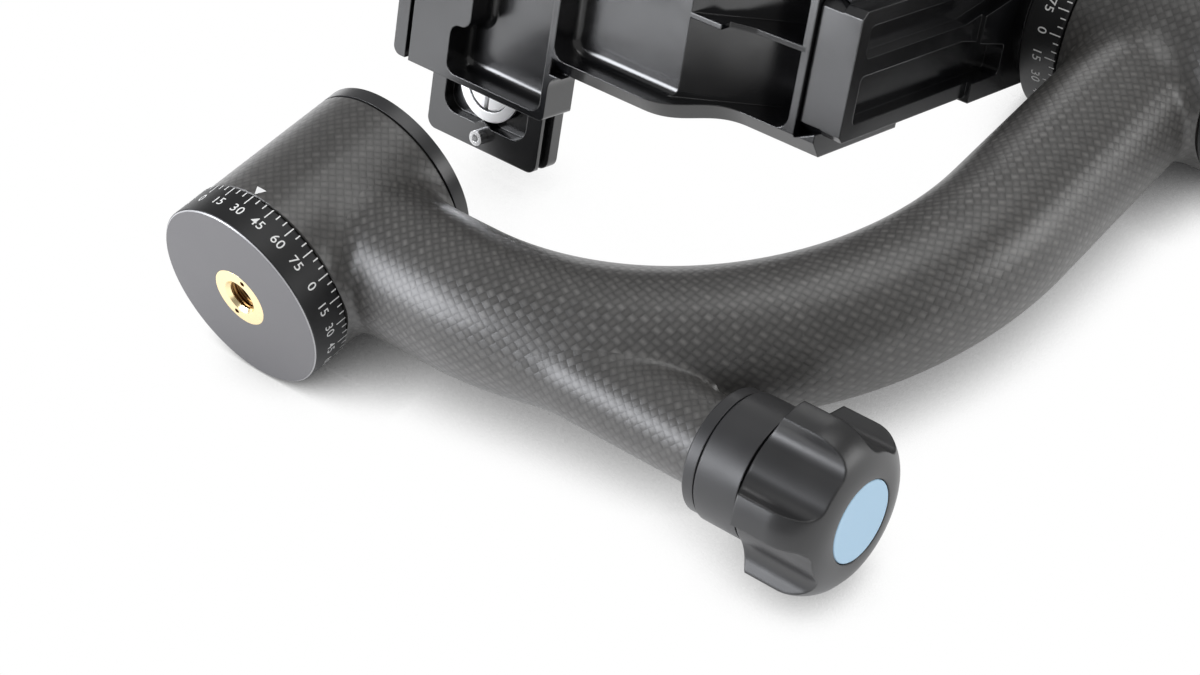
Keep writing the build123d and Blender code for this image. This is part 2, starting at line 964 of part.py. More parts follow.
with BuildPart() as swing_arm:
    with BuildSketch(cradle_wall(swing_inner)):
        with BuildLine():
            Polyline(
                (swing_half_width, 0),
                (swing_half_width, swing_foot_bevel - swing_foot),
                (swing_half_width - swing_foot_bevel, -swing_foot),
                (swing_foot_bevel - swing_half_width, -swing_foot),
                (-swing_half_width, swing_foot_bevel - swing_foot),
                (-swing_half_width, 0),
                close=True,
            )
        make_face()
    extrude(amount=swing_outer - swing_inner)
    with BuildSketch(cradle_wall(swing_inner)):
        Rectangle(2 * swing_hub_half_width, swing_hub_start, align=(Align.CENTER, Align.MAX))
    extrude(amount=hub_face - swing_inner)
    revolve(band(tilt, 0, swing_boss_radius, hub_screw_start, 0), axis=centre_line(tilt))
    with BuildSketch(cradle_wall(hub_face)) as pockets:
        for side in (-1, 1):
            with BuildLine():
                Polyline(
                    (swing_rib_shift + side * swing_rib_half_width, -swing_pocket_low),
                    (side * swing_pocket_side, -swing_pocket_low),
                    (side * swing_pocket_side, -swing_pocket_high),
                    (swing_rib_shift + side * swing_rib_top, -swing_pocket_high),
                    (swing_rib_shift + side * swing_rib_half_width, -swing_rib_widens),
                    close=True,
                )
            make_face()
        fillet(pockets.vertices(), swing_pocket_round)
    extrude(amount=swing_outer - swing_pocket_depth - hub_face, mode=Mode.SUBTRACT)
    with BuildSketch(cradle_level(swing_foot)):
        Polygon(
            (swing_inner, rail_neck_half_width),
            (swing_inner - rail_depth, rail_wide_half_width),
            (swing_inner - rail_depth, -rail_wide_half_width),
            (swing_inner, -rail_neck_half_width),
            align=None,
        )
    extrude(amount=swing_foot - rail_top)
    with BuildSketch(cradle_wall(swing_inner - rail_depth)):
        for side in (-1, 1):
            Polygon(
                (side * (rail_wide_half_width - rail_end_bevel), -swing_foot),
                (side * rail_wide_half_width, -swing_foot),
                (side * rail_wide_half_width, rail_end_bevel - swing_foot),
                align=None,
            )
    extrude(amount=rail_depth, mode=Mode.SUBTRACT)
    with Locations(in_frame(tilt, Plane.XY.offset(hub_screw_start))):
        with PolarLocations(hub_screw_circle, hub_screw_count, start_angle=rest_tilt):
            Cylinder(
                hub_screw_radius + running_gap,
                -hub_screw_start,
                align=(Align.CENTER, Align.CENTER, Align.MIN),
                mode=Mode.SUBTRACT,
            )
            Cylinder(
                hub_screw_head_radius + running_gap,
                hub_screw_head_height,
                align=(Align.CENTER, Align.CENTER, Align.MIN),
                mode=Mode.SUBTRACT,
            )
save(swing_arm, "swing_arm")

with BuildPart() as swing_arm_screws:
    with Locations(in_frame(tilt, Plane.XY.offset(hub_screw_start))):
        with PolarLocations(hub_screw_circle, hub_screw_count, start_angle=rest_tilt):
            Cylinder(
                hub_screw_radius,
                hub_screw_head_height + hub_screw_length,
                align=(Align.CENTER, Align.CENTER, Align.MIN),
            )
            Cylinder(
                hub_screw_head_radius,
                hub_screw_head_height,
                align=(Align.CENTER, Align.CENTER, Align.MIN),
            )
            Cylinder(
                hub_screw_radius - edge_break,
                hub_screw_head_height / 2,
                align=(Align.CENTER, Align.CENTER, Align.MIN),
                mode=Mode.SUBTRACT,
            )
save(swing_arm_screws, "swing_arm_screws")

# ================ platform bracket: leg, diagonal skin and clamp ================
leg_outer = swing_inner - play
leg_inner = leg_outer - leg_thickness
skin_top = bracket_deck - skin_rise
deck_end = leg_inner - skin_rise
skin_drop = skin_thickness * math.sqrt(2)
channel_top = plate_bottom + plate_fit
plate_side = plate_half_width + plate_fit
neck_half_width = plate_half_width - plate_slope
neck_height = plate_bottom - plate_foot - plate_slope
jaw_tip = neck_half_width + 2 * plate_fit
jaw_lift = plate_fit * math.sqrt(2)


def jaw_slope(across):
    """The height of a jaw's 45 degree face over the plate's dovetail, at this distance from the middle."""
    return -neck_height - (across - neck_half_width) + jaw_lift


pocket_half_width = bracket_half_width - bracket_rim
pocket_right = swing_inner - rail_depth - play - leg_wall
groove_floor = swing_inner - rail_depth - play
upright = Axis(cradle_frame.origin, cradle_up)
gib_flat = rail_wide_half_width + gib_room + gib_thin_edge


def clamp_pocket():
    """The pocket in the clamp's underside, round the boss of the clamp screw, with a rounded floor."""
    with BuildPart() as space:
        with BuildSketch(cradle_level(bracket_low)) as outline:
            with Locations((-clamp_pocket_left, 0)):
                Rectangle(
                    clamp_pocket_left + clamp_pocket_right,
                    2 * clamp_pocket_half_length,
                    align=(Align.MIN, Align.CENTER),
                )
                Rectangle(
                    clamp_pocket_left,
                    2 * clamp_boss_half_width,
                    align=(Align.MIN, Align.CENTER),
                    mode=Mode.SUBTRACT,
                )
            fillet(outline.vertices(), clamp_pocket_radius)
        extrude(amount=bracket_low - bracket_floor)
        fillet(space.faces().filter_by(upright).sort_by(upright)[-1].edges(), floor_round)
    return space.part


def web_pocket():
    """The open space between the flanks: under the deck, then under the diagonal skin as far as the leg."""
    skin_foot = deck_end + skin_drop - (bracket_floor - bracket_deck)
    roof_high = bracket_floor - (pocket_right - skin_foot)
    with BuildPart() as space:
        with BuildSketch(cradle_side()):
            Polygon(
                (web_pocket_left, -bracket_floor),
                (skin_foot, -bracket_floor),
                (pocket_right, -roof_high),
                (pocket_right, -bracket_low),
                (web_pocket_left, -bracket_low),
                align=None,
            )
        extrude(amount=pocket_half_width, both=True)
        fillet(space.edges().filter_by(upright), web_pocket_radius)
        level_floor = space.faces().filter_by(upright).sort_by(upright)[-1]
        fillet(level_floor.edges().sort_by(Axis.X)[:-1], floor_round)
    return space.part


def rib_wall():
    """The thin rib between the leg and the end of the floor."""
    with BuildPart() as wall:
        with BuildSketch(in_frame(cradle_frame, Plane.XZ.offset(-rib_centre))):
            with BuildLine():
                Polyline(
                    (deck_end, -bracket_floor),
                    (rib_step, -bracket_floor),
                    (rib_step, -rib_low),
                    (rib_bend, -rib_bend_height),
                    (pocket_right + leg_wall / 2, -bracket_foot),
                    (pocket_right + leg_wall / 2, -skin_top),
                    (leg_inner, -skin_top),
                    (deck_end, -bracket_deck),
                    close=True,
                )
            make_face()
        extrude(amount=rib_half_width, both=True)
    return wall.part


def clamp_section():
    """The side outline of the clamp's body with its fixed jaw."""
    with BuildSketch(cradle_side()) as section:
        Polygon(
            (-clamp_left, -bracket_low),
            (clamp_right, -bracket_low),
            (clamp_right, -bracket_deck),
            (clamp_right - clamp_bevel_width, -clamp_top),
            (jaw_tip, -clamp_top),
            (jaw_tip, jaw_slope(jaw_tip)),
            (plate_side, jaw_slope(plate_side)),
            (plate_side, -channel_top),
            (-clamp_left, -channel_top),
            align=None,
        )
    return section.sketch


def flank_section(along, lift):
    """The side outline of the bracket at this place along, its lower edge lifted for the bevel."""
    start = clamp_right - clamp_corner_radius
    with BuildSketch(in_frame(cradle_frame, Plane.XZ.offset(-along))) as section:
        with BuildLine():
            Line((start, lift - bracket_low), (bracket_curve_start, lift - bracket_low))
            Spline(
                (bracket_curve_start, lift - bracket_low),
                (bracket_curve_end, lift - bracket_foot),
                tangents=((1, 0), (1, 0)),
            )
            Polyline(
                (bracket_curve_end, lift - bracket_foot),
                (leg_outer, lift - bracket_foot),
                (leg_outer, -leg_top),
                (leg_inner, -leg_top),
                (leg_inner, -skin_top),
                (deck_end, -bracket_deck),
                (start, -bracket_deck),
                (start, lift - bracket_low),
            )
        make_face()
    return section.sketch


with BuildPart() as platform_bracket:
    extrude(clamp_section(), amount=clamp_half_length, both=True)
    upright_corners = [
        edge
        for edge in platform_bracket.edges().filter_by(upright)
        if (edge @ 0.5).X > clamp_right - play
    ]
    fillet(upright_corners, clamp_end_round)
    extrude(flank_section(0, 0), amount=pocket_half_width, both=True)
    for side in (-1, 1):
        loft(
            [
                flank_section(side * pocket_half_width, 0).face(),
                flank_section(side * bracket_half_width, bracket_bevel).face(),
            ],
            ruled=True,
        )
        with BuildSketch(cradle_level(bracket_low)):
            with Locations((clamp_right, side * bracket_half_width)):
                Rectangle(
                    clamp_corner_radius,
                    clamp_corner_radius,
                    align=(Align.MIN, Align.MIN if side > 0 else Align.MAX),
                )
            with Locations(
                (clamp_right + clamp_corner_radius, side * (bracket_half_width + clamp_corner_radius))
            ):
                Circle(clamp_corner_radius, mode=Mode.SUBTRACT)
        extrude(amount=bracket_low - bracket_deck)
    add(web_pocket(), mode=Mode.SUBTRACT)
    add(rib_wall())
    add(clamp_pocket(), mode=Mode.SUBTRACT)
    with BuildSketch(cradle_level(bracket_foot)):
        Polygon(
            (swing_inner, rail_side(swing_inner, rail_gap)),
            (groove_floor, rail_side(groove_floor, rail_gap)),
            (groove_floor, -gib_flat - running_gap),
            (swing_inner, -gib_flat - running_gap),
            align=None,
        )
    extrude(amount=bracket_foot - leg_top, mode=Mode.SUBTRACT)
    with Locations(in_frame(cradle_frame, Plane((-clamp_left, 0, -clamp_screw_height), z_dir=(1, 0, 0)))):
        Cylinder(
            clamp_screw_radius + running_gap,
            clamp_screw_depth,
            align=(Align.CENTER, Align.CENTER, Align.MIN),
            mode=Mode.SUBTRACT,
        )
    for side in (-1, 1):
        pin_place = Plane((-clamp_left, side * pin_spacing / 2, -clamp_screw_height), z_dir=(1, 0, 0))
        with Locations(in_frame(cradle_frame, pin_place)):
            Cylinder(
                pin_radius + running_gap,
                pin_depth + play,
                align=(Align.CENTER, Align.CENTER, Align.MIN),
                mode=Mode.SUBTRACT,
            )
    with Locations(in_frame(cradle_frame, Plane((gib_middle, 0, -height_knob_height), z_dir=(0, -1, 0)))):
        Cylinder(
            height_stem_radius + running_gap,
            bracket_half_width,
            align=(Align.CENTER, Align.CENTER, Align.MIN),
            mode=Mode.SUBTRACT,
        )
save(platform_bracket, "platform_bracket")

# ---- moving jaw of the clamp, with its guide pins, screw and knob ----
jaw_inner = clamp_left + jaw_gap
clamp_knob_frame = in_frame(
    cradle_frame,
    Plane((-jaw_outer - washer_gap, 0, -clamp_screw_height), x_dir=(0, 1, 0), z_dir=(-1, 0, 0)),
)
with BuildPart() as clamp_jaw:
    with BuildSketch(cradle_side()):
        Polygon(
            (-jaw_outer, -bracket_low),
            (-jaw_inner, -bracket_low),
            (-jaw_inner, jaw_step - channel_top),
            (-plate_side, jaw_step - channel_top),
            (-plate_side, jaw_slope(plate_side)),
            (-jaw_tip, jaw_slope(jaw_tip)),
            (-jaw_tip, -clamp_top),
            (jaw_bevel - jaw_outer, -clamp_top),
            (-jaw_outer, -clamp_top - jaw_bevel),
            align=None,
        )
    extrude(amount=jaw_half_length, both=True)
    with BuildSketch(cradle_level(bracket_low)) as jaw_outline:
        with Locations((-jaw_outer, 0)):
            Rectangle(jaw_outer - jaw_tip, 2 * jaw_half_length, align=(Align.MIN, Align.CENTER))
        fillet(jaw_outline.vertices().group_by(Axis.X)[0], jaw_end_round)
    extrude(amount=bracket_low - clamp_top, mode=Mode.INTERSECT)
    for side in (-1, 1):
        pin_place = Plane((-jaw_inner, side * pin_spacing / 2, -clamp_screw_height), z_dir=(-1, 0, 0))
        with Locations(in_frame(cradle_frame, pin_place)):
            Cylinder(
                pin_radius + bond_gap,
                pin_seat,
                align=(Align.CENTER, Align.CENTER, Align.MIN),
                mode=Mode.SUBTRACT,
            )
    screw_bore_end = jaw_inner - jaw_outer - washer_gap - play
    revolve(
        band(clamp_knob_frame, 0, clamp_screw_radius + running_gap, screw_bore_end, 0),
        axis=centre_line(clamp_knob_frame),
        mode=Mode.SUBTRACT,
    )
save(clamp_jaw, "clamp_jaw")

with BuildPart() as clamp_pins:
    for side in (-1, 1):
        pin_place = Plane(
            (-jaw_inner - pin_seat, side * pin_spacing / 2, -clamp_screw_height), z_dir=(1, 0, 0)
        )
        with Locations(in_frame(cradle_frame, pin_place)):
            Cylinder(
                pin_radius,
                pin_seat + jaw_gap + pin_depth,
                align=(Align.CENTER, Align.CENTER, Align.MIN),
            )
save(clamp_pins, "clamp_pins")

clamp_knob = knob(
    clamp_knob_frame,
    "clamp_knob",
    small_knob_radius,
    small_knob_core_radius,
    small_knob_length,
    small_knob_disc_radius,
    clamp_screw_radius,
    small_stem_seat,
)
save(clamp_knob, "clamp_knob")
rod(
    clamp_knob_frame,
    "clamp_screw",
    clamp_screw_radius,
    clamp_left + play - clamp_screw_depth - jaw_outer - washer_gap,
    small_stem_seat,
)

# ---- height lock: a gib beside the rail, pressed by the stem of a small knob ----
gib_inner_face = leg_outer - play
gib_outer_face = groove_floor + rail_gap
height_knob_place = Plane(
    (gib_middle, -bracket_half_width - washer_gap, -height_knob_height), x_dir=(1, 0, 0), z_dir=(0, -1, 0)
)
height_knob_frame = in_frame(cradle_frame, height_knob_place)
stem_tip = gib_flat + running_gap - bracket_half_width - washer_gap
with BuildPart() as rail_gib:
    with BuildSketch(cradle_level(height_knob_height + gib_length / 2)):
        Polygon(
            (gib_inner_face, -rail_side(gib_inner_face, gib_room)),
            (gib_outer_face, -rail_side(gib_outer_face, gib_room)),
            (gib_outer_face, -gib_flat),
            (gib_inner_face, -gib_flat),
            align=None,
        )
    extrude(amount=gib_length)
save(rail_gib, "rail_gib")

height_knob = knob(
    height_knob_frame,
    "height_knob",
    height_knob_radius,
    height_knob_core_radius,
    height_knob_length,
    height_knob_disc_radius,
    height_stem_radius,
    height_stem_seat,
)
save(height_knob, "height_knob")
rod(height_knob_frame, "height_stem", height_stem_radius, stem_tip, height_stem_seat)

# ---- lens plate with its camera screw ----
groove_top = neck_height - plate_groove_height
plate_top = plate_bottom - plate_thickness
recess_top = plate_bottom - recess_depth
clip_low = recess_top + running_gap + clip_height
head_low = clip_low + running_gap + camera_head_height
camera_screw_axis = in_frame(cradle_frame, Plane((0, camera_screw_place, 0)))
with BuildPart() as lens_plate:
    with BuildSketch(cradle_side()):
        with BuildLine():
            Polyline(
                (0, -plate_bottom),
                (plate_half_width, -plate_bottom),
                (plate_half_width, plate_foot - plate_bottom),
                (neck_half_width, -neck_height),
                (neck_half_width, -groove_top),
                (plate_half_width, -groove_top),
                (plate_half_width, -plate_top),
                (0, -plate_top),
                close=True,
            )
        make_face()
        mirror(about=Plane.YZ)
    extrude(amount=plate_half_length, both=True)
    with BuildSketch(cradle_level(plate_bottom)):
        RectangleRounded(2 * plate_half_width, 2 * plate_half_length, plate_corner)
    extrude(amount=plate_thickness, mode=Mode.INTERSECT)
    with BuildSketch(cradle_level(plate_bottom)):
        RectangleRounded(2 * recess_half_width, 2 * recess_half_length, recess_corner)
        with GridLocations(0, 2 * stop_place, 1, 2):
            Circle(stop_boss_radius, mode=Mode.SUBTRACT)
    extrude(amount=recess_depth, mode=Mode.SUBTRACT)
    with BuildSketch(cradle_level(recess_top)):
        SlotOverall(2 * slot_half_length, 2 * (camera_screw_radius + rail_gap), rotation=90)
    extrude(amount=recess_top - plate_top, mode=Mode.SUBTRACT)
    with Locations(cradle_level(plate_bottom)):
        with GridLocations(0, 2 * stop_place, 1, 2):
            Cylinder(
                stop_screw_radius + bond_gap,
                stop_screw_depth + play,
                align=(Align.CENTER, Align.CENTER, Align.MIN),
                mode=Mode.SUBTRACT,
            )
save(lens_plate, "lens_plate")

with BuildPart() as stop_screws:
    with Locations(cradle_level(plate_bottom)):
        with GridLocations(0, 2 * stop_place, 1, 2):
            Cylinder(
                stop_screw_radius,
                stop_screw_depth,
                align=(Align.CENTER, Align.CENTER, Align.MIN),
            )
            Cylinder(
                stop_head_radius,
                stop_head_height,
                align=(Align.CENTER, Align.CENTER, Align.MAX),
            )
    with BuildSketch(cradle_level(plate_bottom + stop_head_height)):
        with GridLocations(0, 2 * stop_place, 1, 2):
            RegularPolygon(stop_key_radius, 6)
    extrude(amount=stop_head_height / 2, mode=Mode.SUBTRACT)
save(stop_screws, "stop_screws")

with BuildPart() as camera_screw_clip:
    revolve(
        band(
            camera_screw_axis,
            camera_shank_radius + running_gap,
            clip_radius,
            -clip_low,
            clip_height - clip_low,
        ),
        axis=centre_line(camera_screw_axis),
    )
save(camera_screw_clip, "camera_screw_clip")

screw_end = plate_top - camera_screw_reach
fold_height = head_low - fold_ring_height / 2
fold_axis = in_frame(camera_screw_axis, Plane((0, 0, -fold_height), x_dir=(0, 1, 0), z_dir=(1, 0, 0)))
with BuildPart() as camera_screw:
    revolve(
        turning(
            camera_screw_axis,
            (0, -head_low),
            (camera_head_radius - edge_break, -head_low),
            (camera_head_radius, edge_break - head_low),
            (camera_head_radius, camera_head_height - head_low),
            (camera_shank_radius, camera_head_height - head_low),
            (camera_shank_radius, camera_shank_rise - plate_top),
            (camera_screw_radius, camera_shank_rise - plate_top),
            (camera_screw_radius, -screw_end - edge_break),
            (camera_screw_radius - edge_break, -screw_end),
            (0, -screw_end),
        ),
        axis=centre_line(camera_screw_axis),
    )
    with BuildSketch(in_frame(camera_screw_axis, Plane.XY.offset(-head_low))):
        Rectangle(camera_slot_width, 2 * camera_head_radius)
    extrude(amount=camera_slot_depth, mode=Mode.SUBTRACT)
    for side in (-1, 1):
        pin_low = side * (camera_head_radius - fold_pin_depth)
        revolve(
            band(fold_axis, 0, fold_pin_radius + running_gap, pin_low, side * camera_head_radius),
            axis=centre_line(fold_axis),
            mode=Mode.SUBTRACT,
        )
save(camera_screw, "camera_screw")

# The folding ring is a half ring beside the screw's head, and its two ends are pinned in the head.
with BuildPart() as camera_screw_ring:
    with BuildSketch(in_frame(camera_screw_axis, Plane.XY.offset(-fold_height - fold_ring_height / 2))):
        Circle(fold_ring_radius)
        Circle(fold_ring_hole, mode=Mode.SUBTRACT)
        Rectangle(
            2 * fold_ring_radius, fold_ring_radius, align=(Align.CENTER, Align.MIN), mode=Mode.INTERSECT
        )
    extrude(amount=fold_ring_height)
    round_edges = camera_screw_ring.edges().filter_by(GeomType.CIRCLE)
    fillet(round_edges.group_by(SortBy.RADIUS)[-1], fold_ring_round)
    for side in (-1, 1):
        revolve(
            band(fold_axis, 0, fold_ring_height / 2, side * fold_ring_hole, side * fold_ring_radius),
            axis=centre_line(fold_axis),
        )
        pin_low = side * (camera_head_radius - fold_pin_depth + running_gap)
        revolve(
            band(fold_axis, 0, fold_pin_radius, pin_low, side * fold_ring_hole),
            axis=centre_line(fold_axis),
        )
save(camera_screw_ring, "camera_screw_ring")
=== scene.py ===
"""Gimbal tripod head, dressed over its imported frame. Lengths in the tables are millimetres."""
import bpy
import bmesh
import math
import numpy as np
from mathutils import Matrix, Vector


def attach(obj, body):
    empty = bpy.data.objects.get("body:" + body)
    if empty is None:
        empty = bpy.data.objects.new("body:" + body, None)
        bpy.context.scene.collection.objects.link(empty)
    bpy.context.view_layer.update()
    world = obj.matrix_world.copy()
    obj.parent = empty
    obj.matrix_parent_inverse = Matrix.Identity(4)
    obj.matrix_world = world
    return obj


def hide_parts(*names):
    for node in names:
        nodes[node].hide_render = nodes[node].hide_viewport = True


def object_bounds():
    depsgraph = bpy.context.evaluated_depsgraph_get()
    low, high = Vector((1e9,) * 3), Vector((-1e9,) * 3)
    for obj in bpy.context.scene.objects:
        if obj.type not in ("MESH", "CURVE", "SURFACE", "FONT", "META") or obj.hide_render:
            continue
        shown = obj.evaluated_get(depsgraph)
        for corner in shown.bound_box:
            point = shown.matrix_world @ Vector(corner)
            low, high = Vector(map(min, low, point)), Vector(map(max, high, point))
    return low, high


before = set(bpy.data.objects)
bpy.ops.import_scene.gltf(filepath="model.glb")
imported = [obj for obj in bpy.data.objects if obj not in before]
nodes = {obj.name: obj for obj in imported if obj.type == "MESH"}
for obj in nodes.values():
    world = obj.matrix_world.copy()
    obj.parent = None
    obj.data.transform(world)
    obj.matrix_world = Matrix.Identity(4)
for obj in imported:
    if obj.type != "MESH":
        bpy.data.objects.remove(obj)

MM = 0.001
cad_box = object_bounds()

# ---- sizes that the part's source gives ----
BARREL_R, RING_R = 25.6, 26.0
PAN_LOW, PAN_HIGH = 11.4, 52.3
TILT_LOW, TILT_HIGH, TILT_Z = 120.55, 161.45, 205.2
TUBE_R, TUBE_Z, STRAIGHT, BEND_R = 18.5, 31.45, 46.7, 94.3
BEND_Z, RISER_X = TUBE_Z + BEND_R, STRAIGHT + BEND_R
BRANCH_R, BRANCH_Z, BRANCH_END = 11.1, 27.7, 130.0
BARREL_BORE, BRANCH_BORE = 23.1, 8.0
TILT_RING_FACE, RING_H = 109.15, 11.0
BUSH_BORE, BUSH_MOUTH, BUSH_LENGTH = 3.97, 4.95, 14.0
SPANNER_CIRCLE, SPANNER_HOLE, SPANNER_DEPTH = 6.5, 0.7, 1.0

# ---- sizes read from the photo ----
TUBE_FLARE_SIDE, TUBE_FLARE_HEIGHT = 1.2, 0.9
FLARE_END, FLARE_RUN = 40.0, 32.0
TUBE_START, FAR = -2.0, 60.0
CROSSING = 2.7
TUBE_ROUND, BARREL_ROUND, BRANCH_ROUND = 43, 60, 26
THREAD_PITCH, THREAD_DEPTH = 25.4 / 16, 0.72

# ------------------------------------------------------------------ materials


class Graph:
    """A material's node tree with short calls for the nodes used here."""

    # The numbers of a mix node's sockets: the value at factor 0, the value at factor 1 and the result.
    MIX_SOCKETS = {"VECTOR": (4, 5, 1), "RGBA": (6, 7, 2)}

    def __init__(self, name):
        self.material = bpy.data.materials.new(name)
        self.material.use_nodes = True
        self.tree = self.material.node_tree
        self.tree.nodes.clear()
        self.output = self.tree.nodes.new("ShaderNodeOutputMaterial")

    def node(self, kind, inputs=None, **settings):
        made = self.tree.nodes.new(kind)
        for key, value in settings.items():
            setattr(made, key, value)
        for key, value in (inputs or {}).items():
            self.put(made.inputs[key], value)
        return made

    def put(self, socket, value):
        if isinstance(value, bpy.types.NodeSocket):
            self.tree.links.new(value, socket)
        else:
            socket.default_value = value

    def math(self, operation, first, second=0.0, third=0.0):
        made = self.tree.nodes.new("ShaderNodeMath")
        made.operation = operation
        for socket, value in zip(made.inputs, (first, second, third)):
            self.put(socket, value)
        return made.outputs[0]

    def blend(self, factor, low, high):
        """A number: low where factor is 0 and high where it is 1."""
        return self.math("ADD", self.math("MULTIPLY", self.math("SUBTRACT", high, low), factor), low)

    def noise(self, vector, scale, detail=2.0, rough=0.5):
        return self.node("ShaderNodeTexNoise", {"Vector": vector, "Scale": scale, "Detail": detail,
                                                "Roughness": rough}).outputs["Fac"]

    def span(self, value, low, high, start=0.0, stop=1.0):
        return self.node("ShaderNodeMapRange", {"Value": value, "From Min": start, "From Max": stop,
                                                "To Min": low, "To Max": high}).outputs["Result"]

    def mix(self, kind, factor, low, high):
        """A vector or a colour: low where factor is 0 and high where it is 1."""
        first, second, result = self.MIX_SOCKETS[kind]
        made = self.node("ShaderNodeMix", {0: factor, first: low, second: high}, data_type=kind)
        return made.outputs[result]

    def tint(self, factor, dark, light):
        """A mix of two colours, each written out or another node's output."""
        dark, light = (c if isinstance(c, bpy.types.NodeSocket) else (*c, 1.0) for c in (dark, light))
        return self.mix("RGBA", factor, dark, light)

    def surface(self, shader):
        self.put(self.output.inputs["Surface"], shader.outputs[0])
        return self.material


CLOUD_SCALE, CLOUD_SHARE = 60.0, 0.7
GRAIN_DEPTH, ROUGH_CHANGE = 0.004, 0.05
# The rim colour below is a painted highlight along the edge break of the base's face.
RIM_LOW, RIM_HIGH, RIM_HIGHLIGHT_SHARE, RIM_HIGHLIGHT_COLOUR = 0.03, 0.3, 0.8, (0.55, 0.55, 0.56)


def finish_of(name, dark, light, rough, metallic=0.0, specular=0.5, ior=1.5, grain=2600.0, round_edge=0.25,
              side=None):
    """A blasted, moulded or machined surface: clouded colour, fine grain and slightly rounded edges.

    With side, dark and light are for the face at height 0 only, its rim is a painted highlight line, and the
    rest takes the two colours in side.
    """
    g = Graph(name)
    place = g.node("ShaderNodeTexCoord").outputs["Object"]
    clouds = g.noise(place, CLOUD_SCALE, 3.0)
    speck = g.noise(place, grain, 2.0)
    mottle = g.math("MULTIPLY", clouds, CLOUD_SHARE)
    mottle = g.math("ADD", mottle, g.math("MULTIPLY", speck, 1 - CLOUD_SHARE))
    colour = g.tint(mottle, dark, light)
    if side:
        height = g.node("ShaderNodeSeparateXYZ", {"Vector": place}).outputs[2]
        # Painted highlight: a bright line on the rim between the face and the side.
        rim = g.math("MULTIPLY", g.math("GREATER_THAN", height, RIM_LOW * MM), RIM_HIGHLIGHT_SHARE)
        colour = g.tint(rim, colour, RIM_HIGHLIGHT_COLOUR)
        colour = g.tint(g.math("GREATER_THAN", height, RIM_HIGH * MM), colour, g.tint(clouds, *side))
    edge = g.node("ShaderNodeBevel", {"Radius": round_edge * MM}, samples=6)
    bump = g.node("ShaderNodeBump", {"Height": speck, "Distance": GRAIN_DEPTH * MM, "Strength": 1.0,
                                     "Normal": edge.outputs[0]})
    return g.surface(g.node("ShaderNodeBsdfPrincipled", {
        "Base Color": colour, "Metallic": metallic, "Specular IOR Level": specular, "IOR": ior,
        "Roughness": g.span(clouds, rough - ROUGH_CHANGE, rough + ROUGH_CHANGE, 0.3, 0.7),
        "Normal": bump.outputs[0]}))


TOW_DARK, TOW_LIGHT, TOW_RELIEF = (0.022, 0.0213, 0.0205), (0.172, 0.166, 0.158), 0.06
FIBRES_ACROSS, FIBRES_ALONG = 9.0, 0.7
CHANCE_SHARE, FIBRE_SHARE, WIDE_SHARE = 0.12, 0.26, 0.25
# Strengths of the painted glints, bright dashes on the tows' crowns.
PAINTED_GLINT_ON_TUBE, PAINTED_GLINT_ON_SIDE, PAINTED_GLINT_ALONG_V, PAINTED_GLINT_ALONG_U = 0.30, 0.15, 0.3, (0.55, 1.15)


